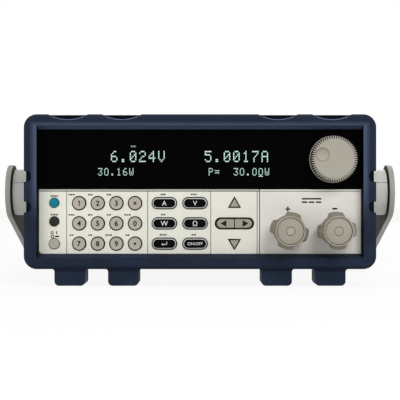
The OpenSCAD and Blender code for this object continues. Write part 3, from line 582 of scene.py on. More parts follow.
FEET_X = (-85, -50, 50, 85)
POCKET_W, POCKET_DEPTH, POCKET_LEN = 26.0, 3.3, 9.4
POCKET_OUT = 0.8
POCKET_RIM, POCKET_STEP = 0.55, 0.35
POCKET_ZONE = 5.5
DENT_R, DENT_LEN = 3.8, 3.2
DENT_IN, DENT_UP = 1.3, 10.0
HUB_SEAT = 113.9
HUB_STEP = 6.5


def rubber_bumper(node):
    """Rubber boot with a stacking pocket over each foot and two dents in each side."""
    low, high = span(node)
    y_open, inward = (low[1], 1) if node == "front_bumper" else (high[1], -1)
    bumper = trimmed_copy(node)
    round_edges(bumper, 0.9, 3, 28)

    def bite(radius, x, z, length, points):
        y0, y1 = sorted((y_open - inward, y_open + inward * length))
        cut(bumper, disc(radius, y0, y1, x, z, points))

    pocket_r = (POCKET_W ** 2 / 4 + POCKET_DEPTH ** 2) / (2 * POCKET_DEPTH)
    z_pocket = high[2] - POCKET_DEPTH + pocket_r
    for foot in FEET_X:
        x = foot + math.copysign(POCKET_OUT, foot)
        bite(pocket_r + POCKET_RIM, x, z_pocket, POCKET_STEP, 128)
        bite(pocket_r, x, z_pocket, POCKET_LEN, 128)
    dents = [(side * (high[0] - DENT_IN), PANEL_Z + up) for side in (-1, 1) for up in (-DENT_UP, DENT_UP)]
    for x, z in dents:
        bite(DENT_R, x, z, DENT_LEN, 48)
    split_wide_faces(bumper)
    smooth(bumper)
    dress(bumper, bumper_rubber, recess_painted_shade, pocket_rim_highlight, dent_floor_shade)

    def depth(c):
        return abs(c.y - y_open)

    # Painted shade on the back walls of the stacking pockets.
    def in_pocket(c, n):
        return abs(n.y) > 0.9 and c.z > high[2] - 5 and 6 < depth(c) < 12

    # Painted shade on the walls of the mouth.
    def in_mouth(c, n):
        inside = abs(c.x) < MOUTH_X + 0.1 and abs(c.z - PANEL_Z) < MOUTH_Z + 0.1
        return inside and abs(n.y) < 0.6 and depth(c) < 7.1

    # Painted shade in the dents.
    def in_dent(c, n):
        near = any(math.hypot(c.x - x, c.z - z) < DENT_R + 0.02 for x, z in dents)
        return near and 0.05 < depth(c) < DENT_LEN + 0.05

    # Painted highlight on the step round each stacking pocket.
    def on_rim(c, n):
        return abs(n.y) > 0.9 and abs(depth(c) - POCKET_STEP) < 0.02 and c.z > high[2] - POCKET_ZONE

    # Darker painted shade on the dent floors.
    def on_dent_floor(c, n):
        return abs(n.y) > 0.9 and abs(depth(c) - DENT_LEN) < 0.02

    for index, test in ((1, in_pocket), (1, in_mouth), (1, in_dent), (2, on_rim), (3, on_dent_floor)):
        paint_faces(bumper, index, test)
    stands_for(bumper, node)


def swing_handle():
    """Bail with painted shade on the inner faces of its arms."""
    bail = softened("handle_bail", handle_plastic, 1.2, 3)
    bail.data.materials.append(handle_painted_shade)
    # Painted shade on the inner faces of the arms.
    paint_faces(bail, 1, lambda c, n: n.x * c.x < 0 and abs(n.x) > 0.7 and abs(c.x) > 120)


def hub_pair():
    """Round hubs with a parting line across the front, and painted shade where the arms turn on them."""
    low, high = span("handle_hubs")
    hubs = softened("handle_hubs", hub_plastic, 0.6, 3)
    line, half, deep = PANEL_Z + HUB_STEP, 0.3, 2.0
    for side in (-1, 1):
        x0, x1 = sorted((side * HUB_SEAT, side * (high[0] - 0.8)))
        cut(hubs, block(x0, x1, low[1] - 1, low[1] + deep, line - half, line + half))
    hubs.data.materials.append(handle_painted_shade)
    # Painted shade on the outer ends of the hubs, where the arms turn.
    paint_faces(hubs, 1, lambda c, n: abs(c.x) > high[0] - 0.71)


def front_plates():
    """Keypad plate and terminal plate, with painted shade in the gaps round the keys and in the dividing
    grooves.
    """
    keypad_plate = softened("front_panel", panel_plastic, 0.14, 2, 40, False)
    terminal_plate = softened("terminal_panel", terminal_plastic, 0.2, 2, 40)
    keypad_plate.data.materials.append(gap_painted_shade)
    keypad_plate.data.materials.append(panel_strip_painted_shade)
    terminal_plate.data.materials.append(gap_painted_shade)

    # Painted shade on the strip along the top of the plate.
    def along_top(c, n):
        return n.y < -0.5 and c.y < Y_PANEL + 0.3 and 0.4 < c.z - PANEL_Z < 1.8
    paint_faces(keypad_plate, 2, along_top)

    # Painted shade on the walls round the keys and on the floors of the grooves.
    def in_gap(c, n):
        deep = c.y - Y_PANEL
        inside = abs(c.x) < 104 and abs(c.z - PANEL_Z) < 39.5
        wall = inside and 0.19 < deep < 2.45 and abs(n.y) < 0.3
        groove_floor = n.y < -0.9 and abs(deep - 0.4) < 0.05
        return wall or groove_floor
    for plate in (keypad_plate, terminal_plate):
        paint_faces(plate, 1, in_gap)


rubber_bumper("front_bumper")
rubber_bumper("rear_bumper")
swing_handle()
hub_pair()
softened("top_cover", case_paint, 0.3, 2)
softened("rear_panel", case_paint, 0.2, 1)
front_plates()
softened("display_window", window_black, 0.15, 1)


# Keys

NUMBER_KEYS = {
    "key_1": "1", "key_2": "2", "key_3": "3", "key_escape": "×",
    "key_4": "4", "key_5": "5", "key_6": "6", "key_0": "0",
    "key_7": "7", "key_8": "8", "key_9": "9", "key_point": "•",
}
OVAL_KEYS = {
    "key_current": "A", "key_voltage": "V", "key_power": "W",
    "key_resistance": "Ω", "key_enter": "↵", "key_on_off": "ON/OFF",
}
NUMBER_R, SMALL_R, POWER_R = 4.05, 2.95, 3.3
OVAL_W, OVAL_H, OVAL_RING = 15.4, 6.6, 0.5
OVAL_REACH = (OVAL_W - OVAL_H) / 2


def round_cap(radius, length, lift):
    """A round key modelled at the origin, its face towards -Y at y = 0."""
    shoulder, slope = 0.55, 0.3
    cap = disc(radius, 0, length)
    edit_faces(cap, lambda c, n: n.y < -0.9)
    bpy.ops.mesh.inset(thickness=shoulder * MM)
    bpy.ops.mesh.inset(thickness=slope * MM)
    bpy.ops.transform.translate(value=(0, lift * MM, 0))
    bpy.ops.mesh.inset(thickness=(radius - shoulder - slope) * 0.55 * MM)
    bpy.ops.transform.translate(value=(0, lift * 0.8 * MM, 0))
    object_mode()
    round_edges(cap, 0.3, 3, 50)
    smooth(cap, 40)
    return cap


def place_cap(cap, node, material):
    x, _, z = middle(node)
    twin = copy_at(cap, x, span(node)[0][1], z)
    dress(twin, material)
    stands_for(twin, node)
    return twin


def key_length(node):
    low, high = span(node)
    return high[1] - low[1]


def oval_cap(length):
    """An oval key: painted rim, then a black face standing a little proud of it."""
    cap = disc(OVAL_H / 2, 0, length, points=72)
    for side in (-1, 1):
        edit_points(cap, lambda co: co.x * side > 0.01)
        bpy.ops.transform.translate(value=(side * OVAL_REACH * MM, 0, 0))
        object_mode()
    round_edges(cap, 0.15, 2, 60)
    edit_faces(cap, lambda c, n: n.y < -0.9)
    for inset, push in ((OVAL_RING, 0), (0.06, 0.22), (0.06, -0.18)):
        bpy.ops.mesh.inset(thickness=inset * MM)
        bpy.ops.transform.translate(value=(0, push * MM, 0))
    object_mode()
    smooth(cap, 40)
    return cap


def oval_key(cap, node):
    """Places an oval cap, blackens its face and paints its sides black as painted shade in the gap round
    it.
    """
    key = place_cap(cap, node, rim_paint)
    key.data.materials.append(key_black)
    x, _, z = middle(node)
    y_face = span(node)[0][1]

    def in_face(c, n):
        over = max(abs(c.x - x) - OVAL_REACH, 0.0)
        inside = math.hypot(over, c.z - z) < OVAL_H / 2 - OVAL_RING
        return inside and n.y < -0.3 and c.y < y_face + 1.0
    paint_faces(key, 1, in_face)
    # Painted shade: the sides of the key are black.
    paint_faces(key, 1, lambda c, n: n.y > -0.3)


number_cap = round_cap(NUMBER_R, key_length("key_1"), 0.06)
for node in NUMBER_KEYS:
    key = place_cap(number_cap, node, key_plastic)
    key.data.materials.append(gap_painted_shade)
    # Painted shade on the sides of the number keys.
    paint_faces(key, 1, lambda c, n: n.y > -0.6)
small_cap = round_cap(SMALL_R, key_length("key_shift"), -0.12)
place_cap(small_cap, "key_shift", teal_plastic)
place_cap(small_cap, "key_local", dark_plastic)
power_cap = round_cap(POWER_R, key_length("power_button"), 0.1)
place_cap(power_cap, "power_button", button_plastic)
oval = oval_cap(key_length("key_enter"))
for node in OVAL_KEYS:
    oval_key(oval, node)
delete(number_cap, small_cap, power_cap, oval)


def arrow_key(node, scale, x_keep, z_keep):
    """An arrow key made smaller about a kept point, so that a wide dark gap runs round it."""
    key = softened(node, arrow_plastic, 0.35, 3, 40)
    edit_faces(key)
    kept = (x_keep * MM, 0, z_keep * MM)
    bpy.ops.transform.resize(value=(scale[0], 1, scale[1]), center_override=kept)
    object_mode()
    key.data.materials.append(gap_painted_shade)
    # Painted shade on the sides of the arrow key.
    paint_faces(key, 1, lambda c, n: abs(n.y) < 0.6)


SPLIT_X = (span("key_left")[1][0] + span("key_right")[0][0]) / 2
for node, base, tip in (("key_up", 0, 1), ("key_down", 1, 0)):
    box = span(node)
    arrow_key(node, (0.8, 0.8), middle(node)[0], box[base][2] + (box[tip][2] - box[base][2]) / 3)
for node in ("key_left", "key_right"):
    arrow_key(node, (0.91, 0.79), SPLIT_X, middle(node)[2])


# Knob and terminals

def ball(radius, x, y, z):
    bpy.ops.mesh.primitive_uv_sphere_add(
        segments=64, ring_count=48, radius=radius * MM, location=(x * MM, y * MM, z * MM),
        rotation=(math.pi / 2, 0, 0),
    )
    piece = bpy.context.active_object
    settle(piece)
    return piece


def rotary_knob():
    """Skirted knob: toothed grip, plain face plate with a finger dimple."""
    low, high = span("rotary_knob")
    x, _, z = middle("rotary_knob")
    y_face, y_foot = low[1], high[1]
    skirt_r, skirt_h = 15.4, 1.8
    teeth, root_r, tip_r, valley = 60, 15.1, 14.9, 0.865
    plate_r, plate_h, grip_drop = 12.85, 2.6, 0.3
    bore_r, bore_floor = 3.05, 4.4
    dimple_r, dimple_deep, dimple_edge = 6.52, 1.9, 4.6
    x_dimple, z_dimple = x - 7.7, z + 2.71

    skirt = disc(skirt_r, y_foot - skirt_h, y_foot, x, z, 96)
    edit_faces(skirt, lambda c, n: n.y < -0.9)
    bpy.ops.mesh.inset(thickness=0.7 * MM)
    object_mode()
    round_edges(skirt, 0.4, 3)
    y_grip = y_face + grip_drop
    bpy.ops.mesh.primitive_cone_add(
        vertices=4 * teeth, radius1=root_r * MM, radius2=tip_r * MM, depth=(y_foot - y_grip) * MM,
        location=(x * MM, (y_grip + y_foot) / 2 * MM, z * MM), rotation=(math.pi / 2, 0, 0),
    )
    grip = bpy.context.active_object
    settle(grip)
    step = math.pi / (2 * teeth)

    def in_valley(co):
        return round(math.atan2(co.z - z, co.x - x) / step) % 4 in (0, 1)
    edit_points(grip, in_valley)
    bpy.ops.transform.resize(value=(valley, 1, valley), center_override=(x * MM, y_face * MM, z * MM))
    object_mode()
    plate = disc(plate_r, y_face, y_face + plate_h, x, z, 128)
    edit_faces(plate, lambda c, n: n.y < -0.9)
    bpy.ops.mesh.inset(thickness=0.9 * MM)
    bpy.ops.mesh.inset(thickness=6 * MM)
    bpy.ops.transform.translate(value=(0, 0.12 * MM, 0))
    object_mode()
    round_edges(plate, 0.25, 3, 50)
    # The grip's hollow is a little wider, so that the two surfaces don't coincide
    for part, spare in ((plate, 0), (grip, 0.3)):
        cut(part, ball(dimple_r + spare, x_dimple, y_face + dimple_deep - dimple_r, z_dimple))
    for part in (grip, skirt):
        cut(part, disc(bore_r, y_face + bore_floor, y_foot + 1, x, z, 48))
    for part in (plate, grip, skirt):
        split_wide_faces(part)
        smooth(part, 30)
    knob = join("rotary_knob_shell", [grip, plate, skirt])
    dress(knob, knob_plastic, knob_painted_shade, lobe_and_dimple_painted_shade)

    def away(c):
        return math.hypot(c.x - x, c.z - z)

    # Painted shade between the teeth.
    def between_teeth(c, n):
        return y_face + 0.32 < c.y < y_foot - 0.5 and plate_r + 0.05 < away(c) < tip_r + 0.08

    # Painted shade on the front of the skirt.
    def on_skirt(c, n):
        return n.y < -0.9 and abs(c.y - y_foot + skirt_h) < 0.05 and away(c) < skirt_r - 0.4

    # Painted shade round the edge of the dimple.
    def on_dimple_edge(c, n):
        from_dimple = math.hypot(c.x - x_dimple, c.z - z_dimple)
        return -0.5 < from_dimple - dimple_edge < 0.05 and 0.02 < c.y - y_face < 0.8
    for index, test in ((1, between_teeth), (1, on_skirt), (2, on_dimple_edge)):
        paint_faces(knob, index, test)
    stands_for(knob, "rotary_knob")


NUT_R, NUT_SHOULDER, NUT_BORE = 10.0, 3, 3.1
LOBE_ANGLE, LOBE_GROW, LOBE_NARROW, LOBE_DROP = 30, 1.195, 0.68, 3.4
LOBE_TIP, TIP_BLUNT = 12.4, 0.5
# Steps inward and along Y from the shoulder to the plug: rim, ring groove, coned face, plug groove, plug
NUT_NOSE = (
    (0.3, 0), (0, -2.5), (0.25, -0.5), (0.7, 0), (0, 1.1), (0.36, 0), (0, -0.3), (1.7, -0.25), (1.8, -0.25),
    (1.85, -0.2), (0, 0.35), (0.3, 0), (0, -0.35), (1.0, -0.05),
)


def thumb_nut(node, turn):
    """Four-lobed nut with a round nose, made upright at the origin and then turned and placed."""
    low, high = span(node)
    y_nose, y_back = low[1], high[1]
    y_shoulder = y_nose + NUT_SHOULDER
    x, _, z = middle(node)
    nut = disc(NUT_R, y_shoulder, y_back, points=96)

    def away(co):
        return math.hypot(co.x, co.z)

    def on_lobe(c, n):
        angle = math.degrees(math.atan2(c.z, c.x)) % 90
        return abs(n.y) < 0.5 and min(angle, 90 - angle) < LOBE_ANGLE
    edit_faces(nut, on_lobe)
    bpy.ops.mesh.extrude_region_move()
    bpy.ops.transform.resize(value=(LOBE_GROW, 1, LOBE_GROW), center_override=(0, 0, 0))
    object_mode()
    for along, across, squeeze in ((0, 2, (1, 1, LOBE_NARROW)), (2, 0, (LOBE_NARROW, 1, 1))):
        edit_points(nut, lambda co: away(co) > 10.8 and abs(co[along]) > abs(co[across]))
        bpy.ops.transform.resize(value=squeeze, center_override=(0, 0, 0))
        object_mode()
    for x_way, z_way in ((1, 0), (-1, 0), (0, 1), (0, -1)):
        edit_points(nut, lambda co: away(co) > 10.3 and co.x * x_way + co.z * z_way > 9)
        bpy.ops.transform.resize(
            value=(TIP_BLUNT if x_way else 1, 1, TIP_BLUNT if z_way else 1),
            center_override=(x_way * LOBE_TIP * MM, 0, z_way * LOBE_TIP * MM),
        )
        object_mode()
    edit_points(nut, lambda co: away(co) > 10.3 and co.y < y_shoulder + 0.1)
    bpy.ops.transform.translate(value=(0, LOBE_DROP * MM, 0))
    object_mode()
    round_edges(nut, 0.35, 3, 32)
    cut(nut, disc(NUT_BORE, y_nose + 3.6, y_back + 1, points=48))
    edit_faces(nut, lambda c, n: n.y < -0.99 and away(c) < 0.5 and c.y < y_shoulder + 0.1)
    for inset, push in NUT_NOSE:
        if inset:
            bpy.ops.mesh.inset(thickness=inset * MM)
            bpy.ops.transform.translate(value=(0, push * MM, 0))
        else:
            bpy.ops.mesh.extrude_region_move(TRANSFORM_OT_translate={"value": (0, push * MM, 0)})
    object_mode()
    split_wide_faces(nut)
    smooth(nut, 40)
    dress(nut, nut_plastic, gap_painted_shade, lobe_and_dimple_painted_shade)

    # Painted shade in the ring grooves.
    def in_groove(c, n):
        ring = 8.38 < away(c) < 8.8 or 2.72 < away(c) < 3.1
        return ring and y_nose + 0.1 < c.y < y_nose + 2
    paint_faces(nut, 1, in_groove)
    # Painted shade on the lobes.
    paint_faces(nut, 2, lambda c, n: c.y > y_shoulder - 0.1)
    nut.rotation_euler = (0, math.radians(-turn), 0)
    nut.location = (x * MM, 0, z * MM)
    settle(nut)
    stands_for(nut, node)


rotary_knob()
thumb_nut("thumb_nut_positive", -15)
thumb_nut("thumb_nut_negative", 4)


# Rear fittings and the nodes that keep their shape

SIDE_SCREWS_Y = (-73.05, 125.5)
SIDE_SCREW_UP = 3.6
FAN_HOLE = 35.75


def copies_at(piece, places):
    """Copies of a piece modelled at the origin, joined into one."""
    return join("fittings", [copy_at(piece, *place) for place in places])


def mains_socket():
    """Appliance inlet with bright pins."""
    inlet = softened("mains_inlet", black_plastic, 0.3, 2, 40)
    inlet.data.materials.append(plated_steel)
    y_mouth = span("mains_inlet")[1][1]
    x, _, z = middle("mains_inlet")

    def on_pin(c, n):
        return c.y > y_mouth - 16 and abs(c.x - x) < 8.5 and abs(c.z - z) < 4.5
    paint_faces(inlet, 1, on_pin)


def serial_socket():
    """Nine-way connector: bright shell, dark insert and two rows of pins."""
    shell = softened("serial_port", plated_steel, 0.25, 2, 40)
    shell.data.materials.append(black_plastic)
    x, _, z = middle("serial_port")
    y_floor = Y_REAR + 1.5
    paint_faces(shell, 1, lambda c, n: n.y > 0.9 and abs(c.y - y_floor) < 0.1 and abs(c.x - x) < 8)
    pin = disc(0.5, 0, 3, points=16)
    round_edges(pin, 0.2, 2, 60)
    pitch, row = 2.77, 1.42
    places = [(x + (i - 2) * pitch, y_floor - 0.1, z + row) for i in range(5)]
    places += [(x + (i - 1.5) * pitch, y_floor - 0.1, z - row) for i in range(4)]
    pins = copies_at(pin, places)
    delete(pin)
    smooth(pins)
    dress(pins, contact_brass)
    belongs(pins, "serial_pins", "case")


def usb_socket():
    """Square interface port: bright shell round a dark tongue."""
    shell = softened("usb_port", plated_steel, 0.3, 2, 40)
    shell.data.materials.append(black_plastic)
    x, _, z = middle("usb_port")

    def on_tongue(c, n):
        return abs(c.x - x) < 2.85 and abs(c.z - z) < 1.65 and c.y > Y_REAR - 9.5
    paint_faces(shell, 1, on_tongue)


def sense_block():
    """Pluggable terminal block with a slotted clamp screw for each wire."""
    softened("sense_terminals", block_green, 0.3, 2, 40)
    low, high = span("sense_terminals")
    ways = 6
    step = (high[0] - low[0]) / ways
    head = disc(1.8, -0.9, -0.3, points=32)
    round_edges(head, 0.15, 2, 60)
    cut(head, block(-2.2, 2.2, -0.55, 0.2, -0.25, 0.25))
    z = middle("sense_terminals")[2] + 3
    heads = copies_at(head, [(low[0] + (i + 0.5) * step, high[1], z) for i in range(ways)])
    delete(head)
    smooth(heads)
    dress(heads, plated_steel)
    belongs(heads, "sense_screws", "case")


def crossed_screws():
    """Case and fan screws with a cross recess in each head."""
    screws = softened("case_screws", plated_steel, 0.5, 3, 40)
    low, high = span("case_screws")
    x_fan, _, z_fan = middle("fan_frame")
    arm, half, deep = 2.2, 0.4, 0.9
    y_head = high[1]
    for wide, tall in ((arm, half), (half, arm)):
        bars = [
            block(x - wide, x + wide, y_head - deep, y_head + 1, z - tall, z + tall)
            for x in (x_fan - FAN_HOLE, x_fan + FAN_HOLE) for z in (z_fan - FAN_HOLE, z_fan + FAN_HOLE)
        ]
        for y in SIDE_SCREWS_Y:
            z = low[2] + SIDE_SCREW_UP
            bars.append(block(high[0] - deep, high[0] + 1, y - wide, y + wide, z - tall, z + tall))
            bars.append(block(low[0] - 1, low[0] + deep, y - wide, y + wide, z - tall, z + tall))
        cut(screws, join("recesses", bars))
    split_wide_faces(screws)
    smooth(screws)


def slotted_pivots():
    """Handle pivot screws with a coin slot in each head."""
    pivots = softened("handle_pivots", plated_steel, 0.4, 3, 40)
    low, high = span("handle_pivots")
    y, z = middle("handle_pivots")[1:]
    reach, half, deep = 6, 0.8, 0.9
    slots = [
        block(x0, x1, y - reach, y + reach, z - half, z + half)
        for x0, x1 in ((high[0] - deep, high[0] + 1), (low[0] - 1, low[0] + deep))
    ]
    cut(pivots, join("slots", slots))
    split_wide_faces(pivots)
    smooth(pivots)


mains_socket()
serial_socket()
usb_socket()
sense_block()
crossed_screws()
slotted_pivots()
softened("fan_guard", plated_steel, 0.45, 3, 40)
KEPT_FINISHES = {
    "bottom_chassis": sheet_steel, "encoder_body": plated_steel, "encoder_shaft": plated_steel,
    "washer_positive": contact_brass, "washer_negative": contact_brass, "terminal_studs": contact_brass,
    "display_tube": tube_glass, "keypad_mat": mat_rubber,
    "front_board": board_green, "main_board": board_green,
    "transformer": sheet_steel, "heatsink": sink_metal, "power_transistors": black_plastic,
    "fan_frame": black_plastic, "fan_rotor": black_plastic, "power_switch": black_plastic,
}
for node, material in KEPT_FINISHES.items():
    frame["nodes"][node].material_slots[0].material = material


# Readout: lit dots on the window

GLYPHS = {
    "0": "01110 10001 10011 10101 11001 10001 01110",
    "1": "00100 01100 00100 00100 00100 00100 01110",
    "2": "01110 10001 00001 00110 01000 10000 11111",
    "3": "11111 00001 00010 00110 00001 10001 01110",
    "4": "00010 00110 01010 10010 11111 00010 00010",
    "5": "11111 10000 11110 00001 00001 10001 01110",
    "6": "00110 01000 10000 11110 10001 10001 01110",
    "7": "11111 00001 00010 00100 01000 01000 01000",
    "O": "01110 10001 10001 10001 10001 10001 01110",
    "A": "01110 10001 10001 11111 10001 10001 10001",
    "V": "10001 10001 10001 10001 10001 01010 00100",
    "W": "10001 10001 10001 10101 10101 10101 01010",
    "P": "11110 10001 10001 11110 10000 10000 10000",
    "=": "00000 00000 11111 00000 11111 00000 00000",
    ".": "00000 00000 00000 00000 00000 01100 01100",
    "_": "00000 00000 00000 00000 00000 00000 11111",
}
DOT_FILL = 0.7


def lit_line(text, x0, z_top, width, height, pitch):
    """Lit dots of one line of text; x0 is the left edge of its first character."""
    lamp = block(-0.5, 0.5, -0.012, 0.012, -0.5, 0.5)
    edit_faces(lamp, lambda c, n: n.y < -0.9)
    bpy.ops.mesh.inset(thickness=0.12 * MM)
    bpy.ops.transform.translate(value=(0, -0.008 * MM, 0))
    object_mode()
    dots = []
    for i, letter in enumerate(text):
        rows = GLYPHS.get(letter, "").split()
        for r, row in enumerate(rows):
            for c, lit in enumerate(row):
                if lit == "1":
                    dot = copy_of(lamp)
                    dot.scale = (width / 5 * DOT_FILL, 1, height / 7 * DOT_FILL)
                    dot.location = (
                        (x0 + i * pitch + (c + 0.5) * width / 5) * MM, (Y_WINDOW - 0.014) * MM,
                        (z_top - (r + 0.5) * height / 7) * MM,
                    )
                    dots.append(dot)
    delete(lamp)
    return dots


def readout():
    """Two large values, two small ones, a cursor and a small mark over the first value."""
    large, small, tiny = (4.4, 7.5, 6.2), (2.85, 5.0, 4.09), (1.5, 2.0, 1.8)
    z_values, z_small, x_right = PANEL_Z + 26.9, PANEL_Z + 15.6, 5.7
    dots = lit_line("6.024V", -58.5, z_values, *large)
    dots += lit_line("5.0017A", 3.1, z_values, *large)
    dots += lit_line("3O.16W", -66.9, z_small, *small)
    dots += lit_line("P=  3O.OOW", x_right, z_small, *small)
    dots += lit_line("_", x_right + 8 * small[2], z_small - 0.8, *small)
    dots += lit_line("==", -45.4, z_values + 3.9, *tiny)
    lines = join("readout", dots)
    settle(lines)
    dress(lines, phosphor)
    belongs(lines, "readout", "case")


readout()


# Printing on keys and panels

# Cap height of the lettering as a share of its size
CAP_SHARE = 0.73
PRINT_LIFT, PRINT_HALF = 0.012, 0.01
FACE_SUNK = 0.055
SMALL_HALF, SMALL_GAP = 0.5, 0.35


def words(text, size, x, y, z, material, name, body, bold=0.0):
    """Printed lettering of a cap height in millimetres, centred on x and z and facing -Y."""
    bpy.ops.object.text_add()
    letters = bpy.context.active_object.data
    letters.body = text
    letters.size = size / CAP_SHARE * MM
    letters.offset = bold * MM
    letters.extrude = PRINT_HALF * MM
    letters.align_x = "CENTER"
    letters.resolution_u = 6
    bpy.ops.object.convert(target="MESH")
    piece = bpy.context.active_object
    tops = [v.co.y for v in piece.data.vertices]
    sides = [v.co.x for v in piece.data.vertices]
    piece.rotation_euler = (math.pi / 2, 0, 0)
    settle(piece)
    piece.location = (
        x * MM - (min(sides) + max(sides)) / 2, (y - PRINT_LIFT) * MM, z * MM - (min(tops) + max(tops)) / 2
    )
    settle(piece)
    outward(piece)
    dress(piece, material)
    belongs(piece, name, body)


def mark(rectangles, name, y=Y_PANEL, material=ink_dark, body="case"):
    """Printed bars, each a rectangle x0, x1, z0, z1 in millimetres."""
    y0, y1 = y - PRINT_LIFT - PRINT_HALF, y - PRINT_LIFT + PRINT_HALF
    bars = [block(x0, x1, y0, y1, z0, z1) for x0, x1, z0, z1 in rectangles]
    whole = join(name, bars) if len(bars) > 1 else bars[0]
    dress(whole, material)
    belongs(whole, name, body)


def face_y(node, sunk):
    return span(node)[0][1] + sunk


def number_legend(node, text):
    x, _, z = middle(node)
    name, body = node + "_legend", body_of[node]
    if text == "•":
        point = disc(0.8, face_y(node, 0.03), face_y(node, FACE_SUNK), x, z, 24)
        round_edges(point, 0.01, 1)
        dress(point, ink_dark)
        belongs(point, name, body)
    elif text == "1":
        stem, flag = (x - 0.1, x + 0.5, z - 1.75, z + 1.75), (x - 0.8, x - 0.1, z + 0.75, z + 1.3)
        mark([stem, flag], name, face_y(node, FACE_SUNK), body=body)
    else:
        words(text, 3.4, x, face_y(node, FACE_SUNK), z, ink_dark, name, body, 0.13)


def oval_legend(node, text):
    x, _, z = middle(node)
    size = 2.0 if len(text) > 1 else 3.3
    words(text, size, x, face_y(node, 0.04), z, ink_light, node + "_legend", body_of[node])


def small_print(x, z, widths, name):
    """A run of small printed bars over a key, in place of words."""
    left = x - (sum(widths) + SMALL_GAP * (len(widths) - 1)) / 2
    bars = []
    for width in widths:
        bars.append((left, left + width, z - SMALL_HALF, z + SMALL_HALF))
        left += width + SMALL_GAP
    mark(bars, name, material=ink_grey)


# How far right of and above a key its small print sits, the end of the print's name, and the bars of each
SMALL_PRINT = (
    (-5.0, 5.6, "_second_use", {
        "key_1": (0.8, 1.6, 1.0), "key_2": (1.4, 1.2), "key_3": (1.0, 1.5), "key_4": (1.2, 1.3, 0.7),
        "key_5": (1.5, 0.9), "key_6": (0.9, 1.4), "key_0": (1.2, 0.9, 1.3), "key_7": (1.3, 0.9),
        "key_8": (0.9, 1.2), "key_9": (1.4, 1.0, 1.2), "key_point": (0.8, 1.5),
    }),
    (-0.8, 5.8, "_second_use", {
        "key_current": (1.2, 1.5), "key_voltage": (1.0, 1.2, 1.0), "key_power": (1.4, 1.1),
        "key_enter": (1.5, 0.9, 1.4), "key_on_off": (1.3, 1.3),
    }),
    (0.0, 4.4, "_name", {"key_shift": (1.7, 1.3, 1.0), "key_local": (1.2, 1.6, 1.2)}),
)


def power_signs():
    """Off and on signs over the power button, and under them a frame and a filled bar for out and in."""
    x, _, z = middle("power_button")
    for sign, right, name, bold in (("O", -1.4, "power_off_sign", 0.14), ("I", 1.6, "power_on_sign", 0.2)):
        words(sign, 1.7, x + right, Y_PANEL, z + 7.2, ink_dark, name, "case", bold)
    mark(
        [
            (x - 2.3, x - 0.2, z + 5.3, z + 5.8), (x - 2.3, x - 1.8, z + 4.3, z + 5.3),
            (x - 0.7, x - 0.2, z + 4.3, z + 5.3), (x - 2.3, x - 0.2, z + 3.8, z + 4.3),
            (x + 0.4, x + 3.2, z + 4.2, z + 5.2),
        ],
        "power_stroke_sign",
    )


def terminal_signs():
    """Plus and minus over the terminals, and the sign for direct current between them."""
    x, z = middle("washer_positive")[0], PANEL_Z - 11.4
    half, stroke = 1.65, 0.45
    mark(
        [
            (x - half, x + half, z - stroke, z + stroke), (x - stroke, x + stroke, z - half, z - stroke),
            (x - stroke, x + stroke, z + stroke, z + half),
        ],
        "positive_sign",
    )
    x = middle("washer_negative")[0]
    mark([(x - 1.6, x + 1.6, PANEL_Z - 11.65, PANEL_Z - 10.55)], "negative_sign")
    x, z = 73.1, PANEL_Z - 5.7
    dashes = [(x + i * 4.6 - 1.8, x + i * 4.6 + 1.8, z - 1.6, z - 0.6) for i in (-1, 0, 1)]
    mark([(x - 6.4, x + 6.4, z + 0.6, z + 1.6)] + dashes, "direct_current_sign")


def arrow_sign(node, side):
    """Printed triangle on one half of the left and right pair."""
    x, _, z = middle(node)
    tip = disc(2.55, -PRINT_HALF, PRINT_HALF, points=3)
    tip.rotation_euler = (0, math.radians(90 * side), 0)
    settle(tip)
    tip.location = ((x - side * 0.3) * MM, (face_y(node, 0) - PRINT_LIFT) * MM, z * MM)
    settle(tip)
    dress(tip, ink_dark)
    belongs(tip, node + "_sign", body_of[node])


for node, text in NUMBER_KEYS.items():
    number_legend(node, text)
for node, text in OVAL_KEYS.items():
    oval_legend(node, text)
for right, up, ending, prints in SMALL_PRINT:
    for node, widths in prints.items():
        x, _, z = middle(node)
        small_print(x + right, z + up, widths, node + ending)
power_signs()
terminal_signs()
arrow_sign("key_left", -1)
arrow_sign("key_right", 1)


# Camera, floor and light

camera_data = bpy.data.cameras.new("camera")
camera = bpy.data.objects.new("camera", camera_data)
bpy.context.scene.collection.objects.link(camera)
camera.location = (0.0, -0.9258, 0.0560)
camera.rotation_euler = (math.pi / 2, 0, 0)
camera_data.lens = 104
camera_data.sensor_width = 36
camera_data.clip_start = 0.01
bpy.context.scene.camera = camera


def seen_directly(tree):
    """1 where the camera, a mirror or glass looks at the surface."""
    path = node_in(tree, "LightPath")
    both = calc(tree, "MAXIMUM", path.outputs["Is Camera Ray"], path.outputs["Is Glossy Ray"])
    return calc(tree, "MAXIMUM", both, path.outputs["Is Transmission Ray"])


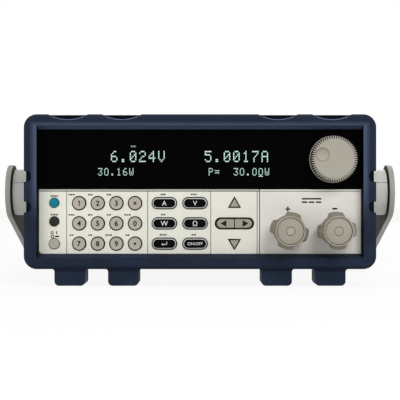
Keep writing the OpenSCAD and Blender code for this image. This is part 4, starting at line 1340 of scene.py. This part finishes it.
def pale_floor():
    bpy.ops.mesh.primitive_plane_add(size=14, location=(0, 0, -0.0001))
    floor = bpy.context.active_object
    floor.name = "floor"
    settle(floor)
    edit_faces(floor)
    bpy.ops.mesh.subdivide(number_cuts=4)
    object_mode()
    material, tree, shader = start_material("floor_white")
    shader.inputs["Roughness"].default_value = 0.9
    shader.inputs["Specular IOR Level"].default_value = 0.0
    paper = textured(tree, "TexNoise", Scale=6.0, Detail=3.0)
    tone = blend(tree, paper.outputs[0], (0.86, 0.86, 0.86, 1), (0.9, 0.9, 0.9, 1))
    tree.links.new(tone, shader.inputs["Base Color"])
    glow = node_in(tree, "Emission", Strength=1.0, Color=(1, 1, 1, 1))
    mix = node_in(tree, "MixShader")
    tree.links.new(calc(tree, "MULTIPLY", seen_directly(tree), 0.9), mix.inputs[0])
    tree.links.new(shader.outputs[0], mix.inputs[1])
    tree.links.new(glow.outputs[0], mix.inputs[2])
    tree.links.new(mix.outputs[0], tree.nodes["Material Output"].inputs["Surface"])
    dress(floor, material)


def studio_world():
    world = bpy.data.worlds.new("studio")
    bpy.context.scene.world = world
    world.use_nodes = True
    tree = world.node_tree
    back = tree.nodes["Background"]
    back.inputs["Color"].default_value = (1, 1, 1, 1)
    strength = remap(tree, seen_directly(tree), 0.0, 1.0, 0.42, 1.0)
    tree.links.new(strength, back.inputs["Strength"])


def soft_light(name, place, aim, size, power):
    data = bpy.data.lights.new(name, "AREA")
    data.shape = "RECTANGLE"
    data.size, data.size_y = size
    data.energy = power
    lamp = bpy.data.objects.new(name, data)
    bpy.context.scene.collection.objects.link(lamp)
    lamp.location = place
    lamp.rotation_euler = (Vector(aim) - lamp.location).to_track_quat("-Z", "Y").to_euler()


pale_floor()
studio_world()
FRONT_AIM, REAR_AIM = (0, -0.1, 0.06), (0, 0.1, 0.06)
soft_light("key_light", (0.55, -1.35, 0.95), FRONT_AIM, (0.8, 0.6), 14)
soft_light("fill_light", (-0.95, -1.1, 0.42), FRONT_AIM, (0.8, 0.8), 5.5)
soft_light("top_light", (-0.1, 0.3, 1.5), REAR_AIM, (1.2, 1.2), 4)
soft_light("rear_light", (0.4, 1.6, 1.0), REAR_AIM, (1.0, 0.8), 9)
bpy.context.scene.view_settings.view_transform = "Standard"
